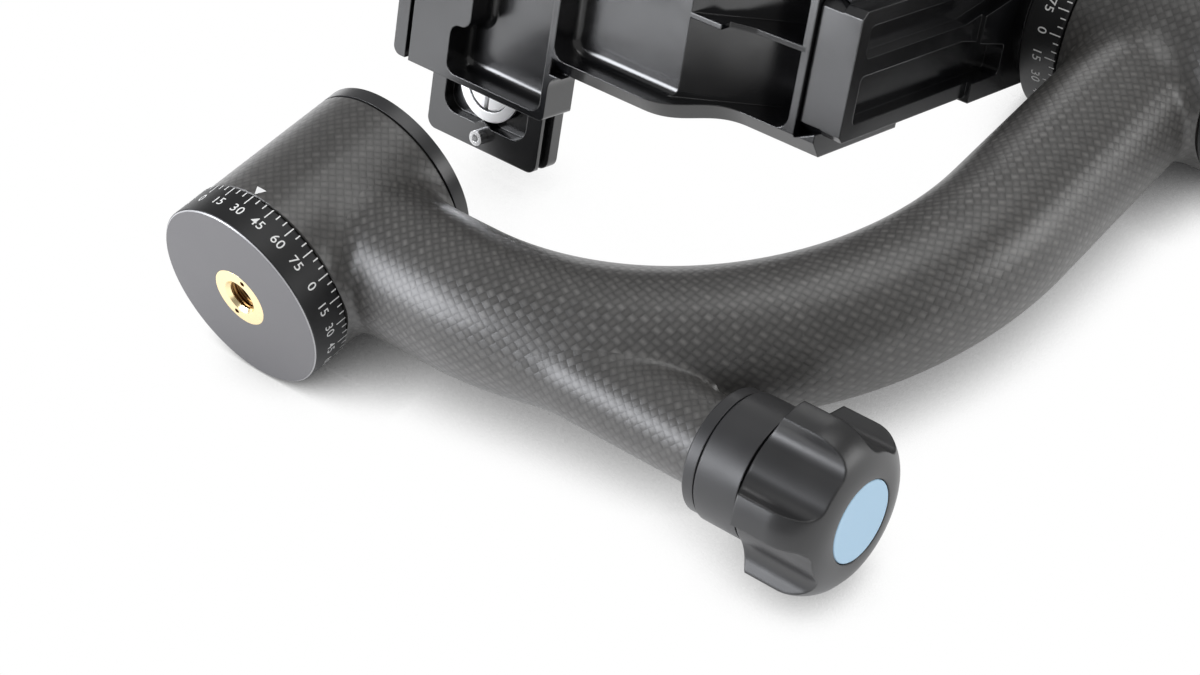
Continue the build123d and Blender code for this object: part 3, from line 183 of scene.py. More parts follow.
def weave_of(name):
    """Plain weave of flat tows, laid diagonally, under satin resin.

    The two weave maps count crossings, and pick says which of them a place on the arm takes. In each square
    the tow on top runs along u or along v in turn, arched in both directions.
    """
    g = Graph(name)
    first = g.node("ShaderNodeUVMap", uv_map="weave_tube").outputs[0]
    second = g.node("ShaderNodeUVMap", uv_map="weave_side").outputs[0]
    pick = g.node("ShaderNodeAttribute", attribute_name="pick").outputs["Fac"]
    on_side = g.math("GREATER_THAN", pick, 0.0)
    place = g.mix("VECTOR", on_side, first, second)
    parts = g.node("ShaderNodeSeparateXYZ", {"Vector": place})
    u, v = parts.outputs[0], parts.outputs[1]
    u, v = g.math("ADD", u, v), g.math("SUBTRACT", u, v)
    fu, fv = g.math("FRACT", u), g.math("FRACT", v)
    iu, iv = g.math("FLOOR", u), g.math("FLOOR", v)
    # 2000 keeps the sum above 0, where the remainder is 0 or 1.
    odd = g.math("MODULO", g.math("ADD", g.math("ADD", iu, iv), 2000.0), 2.0)
    along_u = g.math("LESS_THAN", odd, 0.5)
    su = g.math("SINE", g.math("MULTIPLY", fu, math.pi))
    sv = g.math("SINE", g.math("MULTIPLY", fv, math.pi))
    along = g.blend(along_u, sv, su)
    across = g.blend(along_u, su, sv)
    crown = g.math("POWER", across, 0.55)
    height = g.math("MULTIPLY", crown, g.math("ADD", g.math("MULTIPLY", along, 0.45), 0.55))
    cell = g.node("ShaderNodeCombineXYZ", {"X": iu, "Y": iv})
    chance = g.node("ShaderNodeTexWhiteNoise", {"Vector": cell.outputs[0]}).outputs["Value"]
    fine = g.node("ShaderNodeCombineXYZ", {
        "X": g.math("MULTIPLY", u, g.blend(along_u, FIBRES_ACROSS, FIBRES_ALONG)),
        "Y": g.math("MULTIPLY", v, g.blend(along_u, FIBRES_ALONG, FIBRES_ACROSS))})
    fibre = g.noise(fine.outputs[0], 2.0, 2.0)
    wide = g.noise(place, 0.06, 2.0)
    # Painted glint: a bright dash along the crown of each tow, stronger on tows along u.
    painted_glint = g.math("MULTIPLY", g.math("POWER", across, 3.0), g.math("POWER", along, 0.4))
    painted_glint = g.math("MULTIPLY", painted_glint, g.blend(along_u, PAINTED_GLINT_ALONG_V, g.span(chance, *PAINTED_GLINT_ALONG_U)))
    light = g.math("ADD", g.math("MULTIPLY", chance, CHANCE_SHARE), g.math("MULTIPLY", fibre, FIBRE_SHARE))
    light = g.math("ADD", light, g.math("MULTIPLY", painted_glint, g.blend(on_side, PAINTED_GLINT_ON_TUBE, PAINTED_GLINT_ON_SIDE)))
    light = g.math("ADD", light, g.math("MULTIPLY", wide, WIDE_SHARE))
    # Painted shade: the colour is darker where the tows dip under each other.
    light = g.math("MULTIPLY", light, g.span(height, 0.5, 1.1))
    colour = g.tint(light, TOW_DARK, TOW_LIGHT)
    relief = g.math("ADD", height, g.math("MULTIPLY", fibre, 0.1))
    bump = g.node("ShaderNodeBump", {"Height": relief, "Distance": TOW_RELIEF * MM, "Strength": 1.0})
    lead = g.node("ShaderNodeAttribute", attribute_name="tow").outputs["Vector"]
    normal = g.node("ShaderNodeNewGeometry").outputs["Normal"]
    cross = g.node("ShaderNodeVectorMath", {0: lead, 1: normal}, operation="CROSS_PRODUCT")
    turned = g.node("ShaderNodeVectorMath", {0: cross.outputs[0], "Scale": g.blend(along_u, 1.0, -1.0)},
                    operation="SCALE")
    tangent = g.node("ShaderNodeVectorMath", {0: lead, 1: turned.outputs[0]}, operation="ADD")
    return g.surface(g.node("ShaderNodeBsdfPrincipled", {
        "Base Color": colour, "Roughness": g.span(fibre, 0.37, 0.47), "Specular IOR Level": 0.6,
        "Anisotropic": 0.45, "Tangent": tangent.outputs[0], "Normal": bump.outputs[0],
        "Coat Weight": 0.3, "Coat Roughness": 0.28}))


GREY = finish_of("base_anodised", (0.130, 0.127, 0.132), (0.172, 0.169, 0.175), 0.44, metallic=0.35,
                 side=((0.013, 0.013, 0.0135), (0.023, 0.023, 0.024)))
RING = finish_of("ring_anodised", (0.010, 0.010, 0.0105), (0.020, 0.020, 0.021), 0.36)
BRASS = finish_of("turned_brass", (0.90, 0.72, 0.40), (0.99, 0.83, 0.50), 0.26, metallic=1.0, grain=900.0)
# A darker copy of the brass: painted shade inside the thread's bore and the spanner holes.
BRASS_PAINTED_SHADE = finish_of("brass_painted_shade", (0.26, 0.14, 0.05), (0.38, 0.22, 0.085), 0.34, metallic=1.0,
                   grain=900.0)
BLACK = finish_of("black_anodised", (0.020, 0.020, 0.021), (0.031, 0.031, 0.0325), 0.33, specular=0.7)
KNOB = finish_of("knob_anodised", (0.017, 0.017, 0.0178), (0.026, 0.026, 0.0272), 0.34, specular=0.65,
                 round_edge=0.8)
COLLAR = finish_of("collar_anodised", (0.024, 0.024, 0.0252), (0.034, 0.034, 0.0357), 0.38, specular=0.6,
                   round_edge=0.4)
BLUE = finish_of("blue_cover", (0.50, 0.76, 1.0), (0.55, 0.80, 1.0), 0.38, round_edge=0.15)
BRACKET = finish_of("bracket_anodised", (0.0042, 0.0043, 0.005), (0.0075, 0.0077, 0.009), 0.22, specular=0.9,
                    round_edge=0.45, ior=1.56)
BRIGHT = finish_of("polished_steel_finish", (0.83, 0.83, 0.84), (0.93, 0.93, 0.93), 0.3, metallic=1.0)
STEEL = finish_of("bearing_steel_finish", (0.50, 0.50, 0.51), (0.60, 0.60, 0.61), 0.25, metallic=1.0)
SCREW = finish_of("screw_steel_finish", (0.42, 0.42, 0.43), (0.55, 0.55, 0.56), 0.32, metallic=1.0)
ALUMINIUM = finish_of("turned_aluminium", (0.55, 0.55, 0.56), (0.66, 0.66, 0.67), 0.36, metallic=1.0)
RUBBER = finish_of("seal_rubber_finish", (0.012, 0.012, 0.012), (0.02, 0.02, 0.02), 0.6)
PLASTIC = finish_of("moulded_plastic", (0.03, 0.03, 0.032), (0.045, 0.045, 0.048), 0.45)
CARBON_PLAIN = finish_of("carbon_inside", (0.02, 0.02, 0.021), (0.035, 0.035, 0.036), 0.5)
PAINT = finish_of("white_engraving", (0.90, 0.90, 0.89), (0.96, 0.96, 0.95), 0.5, round_edge=0.05)
WEAVE = weave_of("carbon_weave")

FINISH = {
    "base_disc": GREY, "tilt_scale_ring": RING, "thread_bush": BRASS, "arm_shell": CARBON_PLAIN,
    "pan_cap": BLACK, "tilt_cap": BLACK, "pan_cap_seal": RUBBER, "tilt_cap_seal": RUBBER,
    "pan_collar_ring": COLLAR, "pan_lock_collar": COLLAR,
    "pan_knob": KNOB, "tilt_knob": KNOB, "height_knob": KNOB, "clamp_knob": KNOB,
    "pan_knob_disc": BLUE, "tilt_knob_disc": BLUE, "height_knob_disc": BLUE, "clamp_knob_disc": BLUE,
    "swing_arm": BRACKET, "platform_bracket": BRACKET, "clamp_jaw": BRACKET, "lens_plate": BRACKET,
    "camera_screw": BRIGHT, "camera_screw_ring": BRIGHT, "camera_screw_clip": SCREW, "stop_screws": BRIGHT,
    "swing_arm_screws": SCREW, "clamp_pins": SCREW, "clamp_screw": SCREW, "height_stem": SCREW,
    "rail_gib": PLASTIC, "pan_brake_shoe": PLASTIC,
    "pan_bearing_cages": PLASTIC, "tilt_bearing_cages": PLASTIC,
    "pan_knob_insert": BRASS, "tilt_knob_insert": BRASS,
}
STEELY = ("race", "balls", "screws", "stem")
for name, thing in nodes.items():
    finish = FINISH.get(name) or (STEEL if any(word in name for word in STEELY) else ALUMINIUM)
    if not thing.data.materials:
        thing.data.materials.append(None)
    for place in thing.material_slots:
        place.link, place.material = "OBJECT", finish


def new_piece(name, points, faces, finish, body, smooth=True):
    """A piece from millimetre points that rides on a body."""
    mesh = bpy.data.meshes.new(name)
    mesh.from_pydata([tuple(p) for p in np.asarray(points) * MM], [], [tuple(f) for f in faces])
    mesh.validate()
    mesh.polygons.foreach_set("use_smooth", [smooth] * len(mesh.polygons))
    mesh.materials.append(finish)
    thing = bpy.data.objects.new(name, mesh)
    bpy.context.scene.collection.objects.link(thing)
    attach(thing, body)
    return thing


# ------------------------------------------------------------------ tripod thread


def threaded_bush(bore, mouth, length, around=96, rows_a_turn=14, cone=4, run_out=0.3):
    """The brass bush with its mouth and plain bore swapped for a fine cone and a cut thread."""
    source = nodes["thread_bush"]
    work = bmesh.new()
    work.from_mesh(source.data)
    bmesh.ops.transform(work, matrix=source.matrix_world, verts=work.verts)
    wall = [f for f in work.faces if all(math.hypot(v.co.x, v.co.y) / MM < mouth + 0.06 for v in f.verts)]
    bmesh.ops.delete(work, geom=wall, context="FACES")
    shape = bpy.data.meshes.new("bush_rest")
    work.to_mesh(shape)
    work.free()
    points = [tuple(v.co / MM) for v in shape.vertices]
    faces = [tuple(p.vertices) for p in shape.polygons]
    # The faces inside the two spanner holes, and later the thread's, take the second finish, a darker copy of
    # the brass that is painted shade in these hollows.
    dark = [0.1 < p.center.z / MM < SPANNER_DEPTH + 0.1
            and abs(math.hypot(p.center.x, p.center.y) / MM - SPANNER_CIRCLE) < SPANNER_HOLE + 0.05
            for p in shape.polygons]
    bpy.data.meshes.remove(shape)
    start, low = len(points), mouth - bore
    turns = int((length - low) / THREAD_PITCH * rows_a_turn)
    rows = cone + turns
    for i in range(rows + 1):
        height = low * i / cone if i < cone else low + (length - low) * (i - cone) / turns
        fade = max(0.0, min(1.0, (height - low) / run_out, (length - height) / run_out))
        for j in range(around):
            part = (height / THREAD_PITCH - j / around) % 1.0
            cut = 0.5 - 0.5 * math.cos(2 * math.pi * part)
            radius = bore + max(0.0, low - height) + THREAD_DEPTH * cut * fade
            turn = 2 * math.pi * j / around
            points.append((radius * math.cos(turn), radius * math.sin(turn), height))
    for i in range(rows):
        for j in range(around):
            a, b = start + i * around + j, start + i * around + (j + 1) % around
            faces.append((a, a + around, b + around, b))
            dark.append(i >= cone)
    thing = new_piece("tripod_thread_bush", points, faces, BRASS, "base")
    thing.data.set_sharp_from_angle(angle=math.radians(40.0))
    thing.data.materials.append(BRASS_PAINTED_SHADE)
    thing.data.polygons.foreach_set("material_index", [int(d) for d in dark])
    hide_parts("thread_bush")


threaded_bush(BUSH_BORE, BUSH_MOUTH, BUSH_LENGTH)

# ------------------------------------------------------------------ carbon arm


def soft_min(a, b, reach):
    """The smaller of two distances, blended where they differ by less than reach."""
    h = np.clip(0.5 + 0.5 * (b - a) / reach, 0.0, 1.0)
    return b * (1 - h) + a * h - reach * h * (1 - h)


def tube_frame(p):
    """Along the tube's line, across it (y) and inwards from it, in mm."""
    x, y, z = p[..., 0], p[..., 1], p[..., 2]
    turn = np.arctan2(x - STRAIGHT, BEND_Z - z)
    run = np.hypot(x - STRAIGHT, z - BEND_Z)
    straight = x < STRAIGHT
    riser = (z >= BEND_Z) & ~straight
    along = np.where(straight, x, np.where(riser, STRAIGHT + BEND_R * math.pi / 2 + z - BEND_Z,
                                           STRAIGHT + BEND_R * turn))
    inward = np.where(straight, z - TUBE_Z, np.where(riser, RISER_X - x, BEND_R - run))
    return along, y, inward


def tube_distance(p):
    """The tube is oval at the pan barrel and round from there on."""
    along, across, inward = tube_frame(p)
    t = np.clip((FLARE_END - along) / FLARE_RUN, 0.0, 1.0)
    swell = t * t * (2.0 - t)
    side, height = TUBE_R + TUBE_FLARE_SIDE * swell, TUBE_R + TUBE_FLARE_HEIGHT * swell
    near = np.sqrt((across / side) ** 2 + (inward / height) ** 2) + 1e-9
    slope = np.sqrt((across / side ** 2) ** 2 + (inward / height ** 2) ** 2) + 1e-9
    ended = (p[..., 0] < TUBE_START) | (p[..., 2] > TILT_Z)
    return np.where(ended, FAR, near * (near - 1.0) / slope)


# The barrels and the branch are made over 3 mm too long at their free ends, and trim() cuts them off flat.
PAN_MIDDLE, TILT_MIDDLE, HALF_BARREL = 31.85, 141.0, 24.0
BRANCH_START, BRANCH_STOP = 36.0, 133.5


def pan_distance(p):
    ends = np.abs(p[..., 2] - PAN_MIDDLE) - HALF_BARREL
    return np.maximum(np.hypot(p[..., 0], p[..., 1]) - BARREL_R, ends)


def tilt_distance(p):
    ends = np.abs(p[..., 0] - TILT_MIDDLE) - HALF_BARREL
    return np.maximum(np.hypot(p[..., 1], p[..., 2] - TILT_Z) - BARREL_R, ends)


def branch_distance(p):
    ends = np.maximum(p[..., 0] - BRANCH_STOP, BRANCH_START - p[..., 0])
    return np.maximum(np.hypot(p[..., 1], p[..., 2] - BRANCH_Z) - BRANCH_R, ends)


def side_distances(p):
    """The distances to the pan barrel, the tilt barrel and the branch, side by side."""
    return np.stack([pan_distance(p), tilt_distance(p), branch_distance(p)], -1)


def arm_distance(p):
    """The whole arm. The last number in each line is how far the moulded blend reaches."""
    shape = soft_min(tube_distance(p), branch_distance(p), 3.0)
    shape = soft_min(shape, pan_distance(p), 4.0)
    return soft_min(shape, tilt_distance(p), 5.0)


def surface_net(distance, low, high, step):
    """A quad mesh of the surface where distance is 0, in mm."""
    counts = [int(math.ceil((h - l) / step)) + 1 for l, h in zip(low, high)]
    axes = [l + step * np.arange(n) for l, n in zip(low, counts)]
    grid = np.empty(counts)
    for i, x in enumerate(axes[0]):
        yy, zz = np.meshgrid(axes[1], axes[2], indexing="ij")
        grid[i] = distance(np.stack([np.full_like(yy, x), yy, zz], -1))
    inside = grid < 0
    corners = [(i, j, k) for i in (0, 1) for j in (0, 1) for k in (0, 1)]
    cells = tuple(n - 1 for n in counts)

    def corner(array, c):
        return array[c[0]:c[0] + cells[0], c[1]:c[1] + cells[1], c[2]:c[2] + cells[2]]

    # A cell that the surface runs through gets one point, the mean of the crossings on its edges.
    total = sum(corner(inside, c).astype(np.int8) for c in corners)
    mixed = (total > 0) & (total < 8)
    where = np.argwhere(mixed)
    index = -np.ones(cells, dtype=np.int64)
    index[mixed] = np.arange(len(where))
    points = np.zeros((len(where), 3))
    hits = np.zeros(len(where))
    for a in corners:
        for axis in range(3):
            if a[axis]:
                continue
            b = list(a)
            b[axis] = 1
            ga = grid[where[:, 0] + a[0], where[:, 1] + a[1], where[:, 2] + a[2]]
            gb = grid[where[:, 0] + b[0], where[:, 1] + b[1], where[:, 2] + b[2]]
            cut = (ga < 0) != (gb < 0)
            t = np.where(cut, ga / np.where(cut, ga - gb, 1.0), 0.0)
            spot = np.array(a, float)[None, :].repeat(len(where), 0)
            spot[:, axis] = t
            points += spot * cut[:, None]
            hits += cut
    points = np.array(low) + step * (where + points / hits[:, None])
    # A grid edge that the surface crosses gets one quad, between the four cells round it.
    faces = []
    for axis in range(3):
        b, c = (axis + 1) % 3, (axis + 2) % 3
        start = [slice(None)] * 3
        stop = [slice(None)] * 3
        start[axis], stop[axis] = slice(0, -1), slice(1, None)
        crossing = inside[tuple(start)] != inside[tuple(stop)]
        spots = np.argwhere(crossing)
        keep = (spots[:, b] > 0) & (spots[:, c] > 0) & (spots[:, b] < cells[b]) & (spots[:, c] < cells[c])
        spots = spots[keep]
        ring = []
        for db, dc in ((1, 1), (0, 1), (0, 0), (1, 0)):
            q = spots.copy()
            q[:, b] -= db
            q[:, c] -= dc
            ring.append(index[q[:, 0], q[:, 1], q[:, 2]])
        quads = np.stack(ring, 1)
        outward = inside[spots[:, 0], spots[:, 1], spots[:, 2]]
        quads[~outward] = quads[~outward][:, ::-1]
        faces.append(quads)
    return points, np.concatenate(faces)


def gradient(distance, p, e=0.05):
    """The distance's slope along each axis."""
    parts = []
    for axis in range(3):
        step = np.zeros(3)
        step[axis] = e
        parts.append((distance(p + step) - distance(p - step)) / (2 * e))
    return np.stack(parts, -1)


def settle(distance, points, faces, rounds=6):
    """Evens the points out along the surface and puts them on it."""
    pairs = np.concatenate([faces[:, [i, (i + 1) % 4]] for i in range(4)])
    count = np.bincount(pairs.ravel(), minlength=len(points))[:, None]
    for _ in range(rounds):
        mean = np.zeros_like(points)
        np.add.at(mean, pairs[:, 0], points[pairs[:, 1]])
        np.add.at(mean, pairs[:, 1], points[pairs[:, 0]])
        points = points + 0.5 * (mean / count - points)
        for _ in range(2):
            slope = gradient(distance, points)
            points = points - slope * (distance(points) / (np.sum(slope ** 2, -1) + 1e-9))[:, None]
    return points


def trim(mesh, faces, spot, normal, inner, edge_break=0.3, depth=6.0):
    """Cuts a barrel's or branch's end off flat with a small edge break, and turns it in to its bore."""
    normal = Vector(normal)
    geometry = list({v for f in faces for v in f.verts} | {e for f in faces for e in f.edges}) + faces
    cut = bmesh.ops.bisect_plane(mesh, geom=geometry, dist=1e-5, plane_co=Vector(spot) - normal * edge_break,
                                 plane_no=normal, clear_outer=True)
    rim = [e for e in cut["geom_cut"] if isinstance(e, bmesh.types.BMEdge) and e.is_boundary]
    for change in ("edge", "face", "bore"):
        made = bmesh.ops.extrude_edge_only(mesh, edges=rim)["geom"]
        rim = [e for e in made if isinstance(e, bmesh.types.BMEdge) and e.is_boundary]
        for v in {v for e in rim for v in e.verts}:
            off = v.co - Vector(spot)
            flat = off - normal * off.dot(normal)
            if change == "edge":
                v.co = v.co + normal * edge_break - flat.normalized() * edge_break
            elif change == "face":
                v.co = v.co - flat + flat.normalized() * inner
            else:
                v.co = v.co - normal * depth


NET_LOW, NET_HIGH, NET_STEP = (-28.0, -28.0, 5.0), (168.0, 28.0, 233.0), 1.0
points, faces = surface_net(arm_distance, NET_LOW, NET_HIGH, NET_STEP)
points = settle(arm_distance, points, faces)
shell = bmesh.new()
verts = [shell.verts.new(p) for p in points]
for quad in faces:
    shell.faces.new([verts[i] for i in quad])
shell.verts.ensure_lookup_table()


def end_faces(test):
    """The shell's faces at one free end, by their middles."""
    return [f for f in shell.faces if test(f.calc_center_median())]


def on_branch(c):
    clear_of_tube = math.hypot(c.x - STRAIGHT, c.z - BEND_Z) > BEND_R + TUBE_R + 2.0
    return c.x > 126.0 and c.z < 40.0 and math.hypot(c.y, c.z - BRANCH_Z) < 12.5 and clear_of_tube


trim(shell, end_faces(lambda c: c.z < 13.0 and c.x < 60.0), (0, 0, PAN_LOW), (0, 0, -1), BARREL_BORE)
trim(shell, end_faces(lambda c: c.z > 50.0 and c.x < 60.0), (0, 0, PAN_HIGH), (0, 0, 1), BARREL_BORE)
trim(shell, end_faces(lambda c: c.x < 124.0 and c.z > 176.0), (TILT_LOW, 0, TILT_Z), (-1, 0, 0), BARREL_BORE)
trim(shell, end_faces(lambda c: c.x > 158.0 and c.z > 176.0), (TILT_HIGH, 0, TILT_Z), (1, 0, 0), BARREL_BORE)
trim(shell, end_faces(on_branch), (BRANCH_END, 0, BRANCH_Z), (1, 0, 0), BRANCH_BORE)
bmesh.ops.recalc_face_normals(shell, faces=shell.faces)
arm_mesh = bpy.data.meshes.new("carbon_arm")
shell.to_mesh(arm_mesh)
shell.free()


def read(items, key, kind, width=1):
    """One property of every item, in a flat array."""
    values = np.empty(len(items) * width, dtype=kind)
    items.foreach_get(key, values)
    return values


place = read(arm_mesh.vertices, "co", float, 3).reshape(-1, 3)
corner_vert = read(arm_mesh.loops, "vertex_index", np.int64)
face_size = read(arm_mesh.polygons, "loop_total", np.int64)
face_of = np.repeat(np.arange(len(face_size)), face_size)
face_mid = np.zeros((len(face_size), 3))
np.add.at(face_mid, face_of, place[corner_vert])
face_mid /= face_size[:, None]


def continuous(angle, middle):
    """Corner angles without a jump inside a face."""
    return middle + (angle - middle + math.pi) % (2 * math.pi) - math.pi


def tube_weave(p, m):
    """Weave coordinates, in crossings, of face corners p with face middles m: along the tube and round it."""
    along, across, inward = tube_frame(p)
    _, mid_across, mid_inward = tube_frame(m)
    angle = continuous(np.arctan2(-across, inward), np.arctan2(-mid_across, mid_inward))
    return along / CROSSING, angle / (2 * math.pi) * TUBE_ROUND


def barrel_weave(p, m, a, b, c, count):
    """The same on a barrel or the branch, with its axis along c."""
    turn = continuous(np.arctan2(p[:, b], p[:, a]), np.arctan2(m[:, b], m[:, a]))
    return p[:, c] / CROSSING, turn / (2 * math.pi) * count


tilt_centre = np.array([0, 0, TILT_Z])
branch_centre = np.array([0, 0, BRANCH_Z])
p, m = place[corner_vert], face_mid[face_of]
tube_uv = np.stack(tube_weave(p, m), -1)
pan_uv = np.stack(barrel_weave(p, m, 0, 1, 2, BARREL_ROUND), -1)
tilt_uv = np.stack(barrel_weave(p - tilt_centre, m - tilt_centre, 1, 2, 0, BARREL_ROUND), -1)
branch_uv = np.stack(barrel_weave(p - branch_centre, m - branch_centre, 1, 2, 0, BRANCH_ROUND), -1)
side_uv = np.choose(np.argmin(side_distances(m), -1)[:, None], [pan_uv, tilt_uv, branch_uv])
for name, values in (("weave_tube", tube_uv), ("weave_side", side_uv)):
    layer = arm_mesh.uv_layers.new(name=name)
    layer.data.foreach_set("uv", values.astype(np.float32).ravel())

# pick is above 0 where a barrel or the branch is nearer than the tube, and tow is the line the weave follows.
sides = side_distances(place)
past_tube = tube_distance(place) - sides.min(-1)
pick = arm_mesh.attributes.new("pick", "FLOAT", "POINT")
pick.data.foreach_set("value", past_tube.astype(np.float32))
turn = np.clip((tube_frame(place)[0] - STRAIGHT) / BEND_R, 0, math.pi / 2)
tube_lead = np.stack([np.cos(turn), 0 * turn, np.sin(turn)], -1)
side_lead = np.array([(0, 0, 1), (1, 0, 0), (1, 0, 0)], float)[np.argmin(sides, -1)]
lead = np.where((past_tube > 0)[:, None], side_lead, tube_lead)
lead /= np.linalg.norm(lead, axis=1)[:, None] + 1e-9
tow = arm_mesh.attributes.new("tow", "FLOAT_VECTOR", "POINT")
tow.data.foreach_set("vector", lead.astype(np.float32).ravel())
arm_mesh.vertices.foreach_set("co", (place * MM).ravel())
arm_mesh.polygons.foreach_set("use_smooth", [True] * len(arm_mesh.polygons))
arm_mesh.set_sharp_from_angle(angle=math.radians(35.0))
arm_mesh.materials.append(WEAVE)
arm = bpy.data.objects.new("carbon_arm", arm_mesh)
bpy.context.scene.collection.objects.link(arm)
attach(arm, "arm")
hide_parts("arm_shell")

# ------------------------------------------------------------------ scale marks
TICK_LONG, TICK_SHORT, TICK_HALF, TICK_GAP, TICK_ROWS = 3.3, 1.7, 0.165, 0.12, 4
DIGIT_SIZE, DIGIT_TOP, DIGIT_HEIGHT = 3.6, 4.15, 2.63
DIGIT_SPACING, DIGIT_WEIGHT, DIGIT_EDGE = 1.1, 0.006, 0.6
POINTER_HALF, POINTER_LENGTH, POINTER_GAP, POINTER_ROWS = 1.6, 2.5, 0.35, 6
SCALE_LIFT, POINTER_LIFT = 0.02, 0.05
PAN_ZERO, TILT_ZERO = 332.9, 243.5
PAN_POINTER, TILT_POINTER = 271.5, 180.0
PAN_RING_EDGE, TILT_RING_EDGE = 10.95, TILT_RING_FACE + RING_H - 0.05


def pan_wrap(arc, height, radius, angle):
    """A point on the pan ring: arc runs counter-clockwise seen from above, height is global z."""
    turn = angle + arc / radius
    return (radius * math.cos(turn), radius * math.sin(turn), height)


def tilt_wrap(arc, height, radius, angle):
    """A point on the tilt ring: arc runs from +Y to +Z, height is counted along +X."""
    turn = angle + arc / radius
    return (height, radius * math.cos(turn), TILT_Z + radius * math.sin(turn))


def digits(text, size):
    """The number's flat faces, centred across, with its foot at 0, in mm."""
    curve = bpy.data.curves.new("digits", "FONT")
    curve.body = text
    curve.size = size
    curve.align_x = "CENTER"
    curve.space_character = DIGIT_SPACING
    curve.offset = DIGIT_WEIGHT * size
    holder = bpy.data.objects.new("digits", curve)
    bpy.context.scene.collection.objects.link(holder)
    bpy.context.view_layer.update()
    mesh = bpy.data.meshes.new_from_object(holder.evaluated_get(bpy.context.evaluated_depsgraph_get()))
    work = bmesh.new()
    work.from_mesh(mesh)
    long_edges = [e for e in work.edges if e.calc_length() > DIGIT_EDGE]
    bmesh.ops.subdivide_edges(work, edges=long_edges, cuts=2)
    bmesh.ops.triangulate(work, faces=work.faces)
    shape = [tuple(v.co) for v in work.verts]
    faces = [[v.index for v in f.verts] for f in work.faces]
    work.free()
    bpy.data.objects.remove(holder)
    bpy.data.meshes.remove(mesh)
    return shape, faces


def scale(name, wrap, zero, edge, body, slot):
    """Ticks every 5 degrees, longer every 15, numbered 0 to 75 in each quarter, as thin engraved fills."""
    points, faces = [], []
    for k in range(72):
        angle = math.radians(zero + 5 * k)
        length = TICK_SHORT if k % 3 else TICK_LONG
        start = len(points)
        for i in range(TICK_ROWS + 1):
            height = edge - (TICK_GAP + (length - TICK_GAP) * i / TICK_ROWS)
            points += [wrap(arc, height, RING_R + SCALE_LIFT, angle) for arc in (-TICK_HALF, TICK_HALF)]
        for a in range(start, start + 2 * TICK_ROWS, 2):
            faces.append([a, a + 1, a + 3, a + 2])
        if k % 3 == 0:
            shape, tris = digits(str((15 * (k // 3)) % 90), DIGIT_SIZE)
            start = len(points)
            foot = edge - (DIGIT_TOP + DIGIT_HEIGHT)
            points += [wrap(x, foot + y, RING_R + SCALE_LIFT, angle) for x, y, _ in shape]
            faces += [[start + i for i in tri] for tri in tris]
    return new_piece(name, points, faces, PAINT, body, smooth=False)


scale("pan_scale_marks", pan_wrap, PAN_ZERO, PAN_RING_EDGE, "base", "anodised_grey")
scale("tilt_scale_marks", tilt_wrap, TILT_ZERO, TILT_RING_EDGE, "cradle", "anodised_grey")


def pointer(name, wrap, angle, edge, body):
    """A small white triangle on the barrel that points at the scale."""
    points, faces = [], []
    for i in range(POINTER_ROWS + 1):
        height = edge + (POINTER_GAP + POINTER_LENGTH * i / POINTER_ROWS)
        for j in range(POINTER_ROWS + 1):
            arc = POINTER_HALF * (2 * j / POINTER_ROWS - 1) * i / POINTER_ROWS
            points.append(wrap(arc, height, BARREL_R + POINTER_LIFT, angle))
    for i in range(POINTER_ROWS):
        for j in range(POINTER_ROWS):
            a = (POINTER_ROWS + 1) * i + j
            faces.append([a, a + 1, a + POINTER_ROWS + 2, a + POINTER_ROWS + 1])
    return new_piece(name, points, faces, PAINT, body, smooth=False)


pointer("pan_pointer", pan_wrap, math.radians(PAN_POINTER), PAN_LOW, "arm")
pointer("tilt_pointer", tilt_wrap, math.radians(TILT_POINTER), TILT_LOW, "arm")

# ------------------------------------------------------------------ floor, lamps, camera
FLOOR_GAP, FLOOR_HALF = 0.0003, 3.0
FLOOR_GREY = (0.8, 0.8, 0.8, 1.0)
# Reaches and levels of the painted contact shadow and of the painted shade in the glow, both from ambient
# occlusion.
CONTACT_REACH, SHADOW_REACH = 0.022, 0.11
GLOW_POWER, GLOW_LEVEL = 1.2, 0.66
SHADOW_POWER, SHADOW_GAIN, SHADOW_SOFTNESS = 0.7, 2.2, 1.3
ROOM_LIGHT = 0.32


